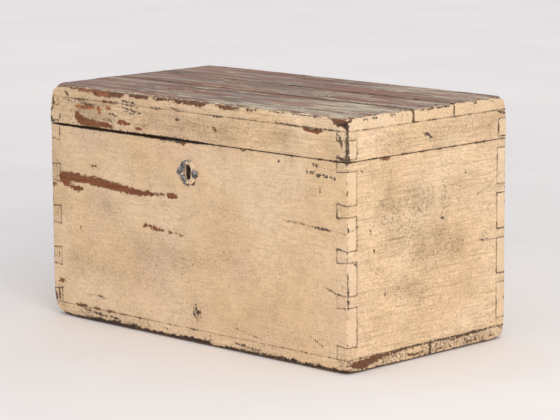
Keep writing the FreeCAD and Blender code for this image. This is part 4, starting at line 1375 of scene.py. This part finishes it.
def worn_top(f, colours, grain, loss, bare, bare_height):
    """Changes what shows on the level face to weathered wood with thin remnants of paint."""
    grey, grey_height = weathered_wood(f, colours, grain)
    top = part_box("lid_front_plank")[1].z
    level = f.eased(f.coordinate(Z), top - 2.6 * MM, top - 0.6 * MM)
    thin = f.noise(5.5, shorter(grain, 7), detail=6, roughness=0.7, shift=71)
    region = f.noise(75, shorter(grain, 2.5), detail=2, shift=74)
    to_front = f.eased(f.coordinate(Y), *REMNANTS_TO_FRONT, 0.0, 0.04)
    to_right = f.eased(f.coordinate(X), *REMNANTS_TO_RIGHT, -0.02, 0.07)
    left_over = f.total(thin, f.swing(region, 0.5), to_front, to_right)
    kept = f.product(f.eased(left_over, 0.58, 0.66), level)
    bare = f.mix(level, f.mix(0.45, bare, colours.weathered_dark), grey)
    bare = f.mix(f.product(kept, 0.85), bare, colours.remnant)
    rim = f.product(f.eased(loss, 2.0, 0.2), level, f.patches(9, 0.42, 0.58, detail=4, shift=77))
    bare = f.mix(f.product(rim, 0.8), bare, colours.weathered_dark)
    return bare, f.total(f.blend(level, bare_height, grey_height), f.product(kept, 0.7))


def aged_iron(name, colours, rust_share, size=6.0):
    """Dark iron, rubbed bright in places and rusted in others."""
    f = Finish(name)
    fine = f.noise(size / 7, detail=4, shift=83)
    cloud = f.total(f.noise(size, detail=5, shift=81), f.swing(fine, 0.5))
    rusted = f.eased(cloud, 0.62 - rust_share, 0.78 - rust_share)
    rubbed = f.product(f.patches(size * 1.6, 0.52, 0.72, detail=4, shift=85), 0.7)
    colour = f.mix(rubbed, colours.iron, colours.iron_bright)
    colour = f.mix(rusted, colour, f.lit(colours.rust, f.eased(fine, 0.3, 0.7, 0.6, 1.25)))
    f.feed(f.shader.inputs["Metallic"], f.blend(rusted, 0.85, 0.05))
    roughness = f.blend(rusted, f.eased(fine, 0.3, 0.7, 0.38, 0.58), 0.85)
    return f.done(colour, roughness, f.total(fine, f.product(rusted, 0.6)), 0.12)


def flaked_iron(name, colours):
    """Iron that was painted over with the box and has flaked, most on the left."""
    f = Finish(name)
    low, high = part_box("escutcheon")
    centre = (low + high) / 2
    fine = f.noise(1.0, detail=4, shift=91)
    patch = f.noise(5.5, detail=4, shift=93)
    to_right = f.product(f.total(f.coordinate(X), -centre.x), 22.0)
    rim = f.eased(f.away_from(centre, (1, 0, 0.6)), 4.6 * MM, 3.7 * MM, 0.0, 0.3)
    rubbed_ear = centre + Vector((10, 0, -1)) * MM
    rubbed = f.eased(f.away_from(rubbed_ear, (1, 0, 1)), 5 * MM, 2.6 * MM, 0.0, -0.5)
    kept = f.eased(f.total(patch, to_right, rim, rubbed, f.swing(fine, 0.35)), 0.46, 0.52)
    metal = f.mix(f.patches(3.0, 0.42, 0.62, detail=4, shift=95), colours.iron, colours.iron_bright)
    metal = f.mix(f.product(f.eased(fine, 0.55, 0.75), 0.5), metal, colours.rust)
    metal = f.lit(metal, f.eased(fine, 0.3, 0.7, 1.3, 1.7))
    coat = f.mix(f.patches(4, 0.45, 0.75, detail=4, shift=97), colours.cream, colours.grime)
    f.feed(f.shader.inputs["Metallic"], f.blend(kept, 0.4, 0.0))
    height = f.total(kept, f.product(fine, 0.3))
    return f.done(f.mix(kept, metal, coat), f.blend(kept, 0.42, 0.6), height, 0.16)


def spring_steel(name, colours):
    """Thin blued steel, browned in places."""
    f = Finish(name)
    cloud = f.noise(3.0, detail=4, shift=101)
    colour = f.mix(f.eased(cloud, 0.48, 0.68), colours.spring, colours.rust)
    f.feed(f.shader.inputs["Metallic"], f.eased(cloud, 0.48, 0.68, 0.95, 0.3))
    return f.done(colour, f.eased(cloud, 0.4, 0.7, 0.3, 0.75), cloud, 0.05)


def pale_floor(name, stage):
    """A plain matt floor with the faintest wear, which looks paler far off."""
    f = Finish(name)
    colour = f.lit(stage.floor, f.patches(240, 0.3, 0.7, 0.97, 1.01, detail=4))
    rays = f.add("ShaderNodeLightPath").outputs
    seen = f.most(*(rays[f"Is {kind} Ray"] for kind in ("Camera", "Glossy", "Transmission")))
    far = f.eased(f.away_from((0, 0, 0), EVEN), *FAR_FLOOR, 0.0, stage.backdrop_glow)
    f.feed(f.shader.inputs["Emission Color"], stage.floor)
    f.feed(f.shader.inputs["Emission Strength"], f.product(seen, far))
    return f.done(colour, 0.7, f.noise(30, detail=4), 0.1)


def finish_named(name, build, *details, **more):
    """A finish that several pieces share, built once."""
    return bpy.data.materials.get(name) or build(name, *details, **more)


# Operators


class DressOperator:
    """What every step shares."""

    bl_options = {"REGISTER", "UNDO"}

    def settings(self, context):
        scene = context.scene
        return scene.money_box_wear, scene.money_box_colours


def case_shell(wear):
    return Shell(SIDE_WALLS + END_WALLS + BOTTOM_PLANKS, WORN_CASE, wear.foot_round, False)


def lid_shell(wear):
    return Shell(SIDE_RAILS + END_RAILS + LID_PLANKS, WORN_LID, wear.top_round, True)


class MONEYBOX_OT_walls(DressOperator, bpy.types.Operator):
    """Dress the four dovetailed walls of the case"""

    bl_idname = "money_box.walls"
    bl_label = "Walls"

    def execute(self, context):
        wear, colours = self.settings(context)
        along = finish_named("paint_on_walls", painted_board, colours, ALONG_X, 0.3)
        across = finish_named("paint_on_ends", painted_board, colours, ALONG_Y, 1.0)
        for node in SIDE_WALLS + END_WALLS:
            dress_board(node, along if node in SIDE_WALLS else across, case_shell(wear), wear)
        return {"FINISHED"}


class MONEYBOX_OT_bottom(DressOperator, bpy.types.Operator):
    """Dress the two planks of the bottom"""

    bl_idname = "money_box.bottom"
    bl_label = "Bottom"

    def execute(self, context):
        wear, colours = self.settings(context)
        finish = finish_named("paint_on_bottom", painted_board, colours, ALONG_X, 0.9, foot=True)
        for node in BOTTOM_PLANKS:
            dress_board(node, finish, case_shell(wear), wear, nails="bottom_nails")
        return {"FINISHED"}


class MONEYBOX_OT_lid_frame(DressOperator, bpy.types.Operator):
    """Dress the four dovetailed rails of the lid"""

    bl_idname = "money_box.lid_frame"
    bl_label = "Lid frame"

    def execute(self, context):
        wear, colours = self.settings(context)
        along = finish_named("paint_on_rails", painted_board, colours, ALONG_X, 0.8)
        across = finish_named("paint_on_ends", painted_board, colours, ALONG_Y, 1.0)
        for node in SIDE_RAILS + END_RAILS:
            dress_board(node, along if node in SIDE_RAILS else across, lid_shell(wear), wear)
        return {"FINISHED"}


class MONEYBOX_OT_lid_top(DressOperator, bpy.types.Operator):
    """Dress the three weathered planks of the lid"""

    bl_idname = "money_box.lid_top"
    bl_label = "Lid top"

    def execute(self, context):
        wear, colours = self.settings(context)
        finish = finish_named("weathered_top", painted_board, colours, ALONG_X, 0.8, weathered=True)
        for node in LID_PLANKS:
            dress_board(node, finish, lid_shell(wear), wear, nails="lid_nails")
        return {"FINISHED"}


class MONEYBOX_OT_escutcheon(DressOperator, bpy.types.Operator):
    """Dress the keyhole plate and its sprigs"""

    bl_idname = "money_box.escutcheon"
    bl_label = "Keyhole plate"

    def execute(self, context):
        wear, colours = self.settings(context)
        finish = finish_named("flaked_plate", flaked_iron, colours)
        finished(domed_plate("escutcheon", wear), "escutcheon", finish)
        soften("escutcheon_sprigs", finish, wear.iron_bevel)
        return {"FINISHED"}


class MONEYBOX_OT_lock(DressOperator, bpy.types.Operator):
    """Dress the lock, its bolt and spring, and the link plate in the lid"""

    bl_idname = "money_box.lock"
    bl_label = "Lock"

    def execute(self, context):
        wear, colours = self.settings(context)
        iron = finish_named("lock_iron", aged_iron, colours, 0.08)
        for node in LOCK_IRON + LOCK_SPRIGS:
            soften(node, iron, wear.iron_bevel)
        soften("bolt_spring", finish_named("blued_steel", spring_steel, colours), wear.iron_bevel / 3)
        return {"FINISHED"}


class MONEYBOX_OT_hinges(DressOperator, bpy.types.Operator):
    """Dress the hinges, their pins and their slotted screws"""

    bl_idname = "money_box.hinges"
    bl_label = "Hinges"

    def execute(self, context):
        wear, colours = self.settings(context)
        iron = finish_named("hinge_iron", aged_iron, colours, 0.16)
        for node in HINGE_IRON:
            soften(node, iron, wear.iron_bevel)
        for node, outward in HINGE_SCREWS.items():
            finished(slotted_screws(node, outward, wear), node, iron)
        return {"FINISHED"}


def slotted_screws(node, outward, wear, slot_width=0.9 * MM, slot_depth=0.7 * MM, overhang=1 * MM):
    """The screws of the leaves with a slot across each head, no two turned alike."""
    piece = softened_copy(node, f"{node}_slotted", wear.iron_bevel)
    screws = sorted(loose_parts(piece.data), key=lambda part: tuple(part.mean(axis=0)))
    for count, screw in enumerate(screws):
        low, high = screw.min(axis=0), screw.max(axis=0)
        middle = (low + high) / 2
        face = high[Z] if outward > 0 else low[Z]
        bpy.ops.object.select_all(action="DESELECT")
        bpy.ops.mesh.primitive_cube_add(
            size=1, location=(middle[X], middle[Y], face),
            rotation=(0, 0, math.radians(FIRST_SLOT + NEXT_SLOT * count)),
            scale=(high[X] - low[X] + overhang, slot_width, 2 * slot_depth),
        )
        cut(piece, bpy.context.object, "DIFFERENCE")
    return piece


class MONEYBOX_OT_nails(DressOperator, bpy.types.Operator):
    """Dress the punched nails of the planks"""

    bl_idname = "money_box.nails"
    bl_label = "Nails"

    def execute(self, context):
        wear, colours = self.settings(context)
        iron = finish_named("nail_iron", aged_iron, colours, 0.3, 3.0)
        for node in PLANK_NAILS:
            soften(node, iron, wear.iron_bevel)
        return {"FINISHED"}


class MONEYBOX_OT_stage(bpy.types.Operator):
    """Set the floor, the lights and the camera"""

    bl_idname = "money_box.stage"
    bl_label = "Stage"

    def execute(self, context):
        stage = context.scene.money_box_stage
        bpy.ops.object.select_all(action="DESELECT")
        bpy.ops.mesh.primitive_circle_add(vertices=96, radius=stage.floor_radius, fill_type="NGON")
        floor = context.object
        floor.name = "floor"
        floor.data.materials.append(pale_floor("pale_floor", stage))
        hang_lamp(stage)
        light_sky(context.scene, stage)
        set_camera(context.scene, stage)
        context.scene.view_settings.view_transform = "Standard"
        return {"FINISHED"}


def hang_lamp(stage):
    """A square soft lamp that faces the box."""
    place = Vector(stage.key_place)
    bpy.ops.object.light_add(type="AREA", location=place)
    lamp = bpy.context.object
    lamp.name = "key"
    lamp.data.energy = stage.key_power
    lamp.data.color = stage.key_colour
    lamp.data.size = stage.key_size
    lamp.rotation_euler = (Vector(stage.key_aim) - place).to_track_quat("-Z", "Y").to_euler()


def light_sky(scene, stage):
    """Even light from all round."""
    scene.world = bpy.data.worlds.new("studio")
    scene.world.use_nodes = True
    background = scene.world.node_tree.nodes["Background"]
    background.inputs["Color"].default_value = (*stage.sky, 1)
    background.inputs["Strength"].default_value = stage.sky_strength


def set_camera(scene, stage, frame_width=36, farthest=100):
    """The camera at the photograph's viewing angle."""
    yaw, pitch, roll = stage.camera_yaw, stage.camera_pitch, stage.camera_roll
    level = math.cos(pitch)
    forward = Vector((math.sin(yaw) * level, math.cos(yaw) * level, -math.sin(pitch)))
    right = Vector((math.cos(yaw), -math.sin(yaw), 0))
    up = right.cross(forward)
    rolled_right = right * math.cos(roll) + up * math.sin(roll)
    rolled_up = up * math.cos(roll) - right * math.sin(roll)
    turn = Matrix((rolled_right, rolled_up, -forward)).transposed()
    bpy.ops.object.camera_add(location=stage.camera_place, rotation=turn.to_euler())
    camera = bpy.context.object
    camera.data.sensor_fit = "HORIZONTAL"
    camera.data.sensor_width = frame_width
    camera.data.lens = stage.camera_lens
    camera.data.clip_end = farthest
    scene.camera = camera


STEPS = (
    MONEYBOX_OT_walls, MONEYBOX_OT_bottom, MONEYBOX_OT_lid_frame, MONEYBOX_OT_lid_top,
    MONEYBOX_OT_escutcheon, MONEYBOX_OT_lock, MONEYBOX_OT_hinges, MONEYBOX_OT_nails, MONEYBOX_OT_stage,
)


class MONEYBOX_PT_panel(bpy.types.Panel):
    """The steps and the settings of the money box"""

    bl_idname = "MONEYBOX_PT_panel"
    bl_label = "Money Box"
    bl_space_type = "VIEW_3D"
    bl_region_type = "UI"
    bl_category = "Money Box"

    def draw(self, context):
        for step in STEPS:
            self.layout.operator(step.bl_idname)
        for group in SETTINGS:
            values = getattr(context.scene, group)
            box = self.layout.box()
            for name in values.__annotations__:
                box.prop(values, name)


SETTINGS = {
    "money_box_wear": MoneyBoxWear,
    "money_box_colours": MoneyBoxColours,
    "money_box_stage": MoneyBoxStage,
}
CLASSES = (*SETTINGS.values(), *STEPS, MONEYBOX_PT_panel)


def register():
    for cls in CLASSES:
        bpy.utils.register_class(cls)
    for name, group in SETTINGS.items():
        setattr(bpy.types.Scene, name, PointerProperty(type=group))


def unregister():
    for name in SETTINGS:
        delattr(bpy.types.Scene, name)
    for cls in reversed(CLASSES):
        bpy.utils.unregister_class(cls)


def main():
    register()
    bpy.ops.money_box.walls()
    bpy.ops.money_box.bottom()
    bpy.ops.money_box.lid_frame()
    bpy.ops.money_box.lid_top()
    bpy.ops.money_box.escutcheon()
    bpy.ops.money_box.lock()
    bpy.ops.money_box.hinges()
    bpy.ops.money_box.nails()
    bpy.ops.money_box.stage()


if __name__ == "__main__":
    main()
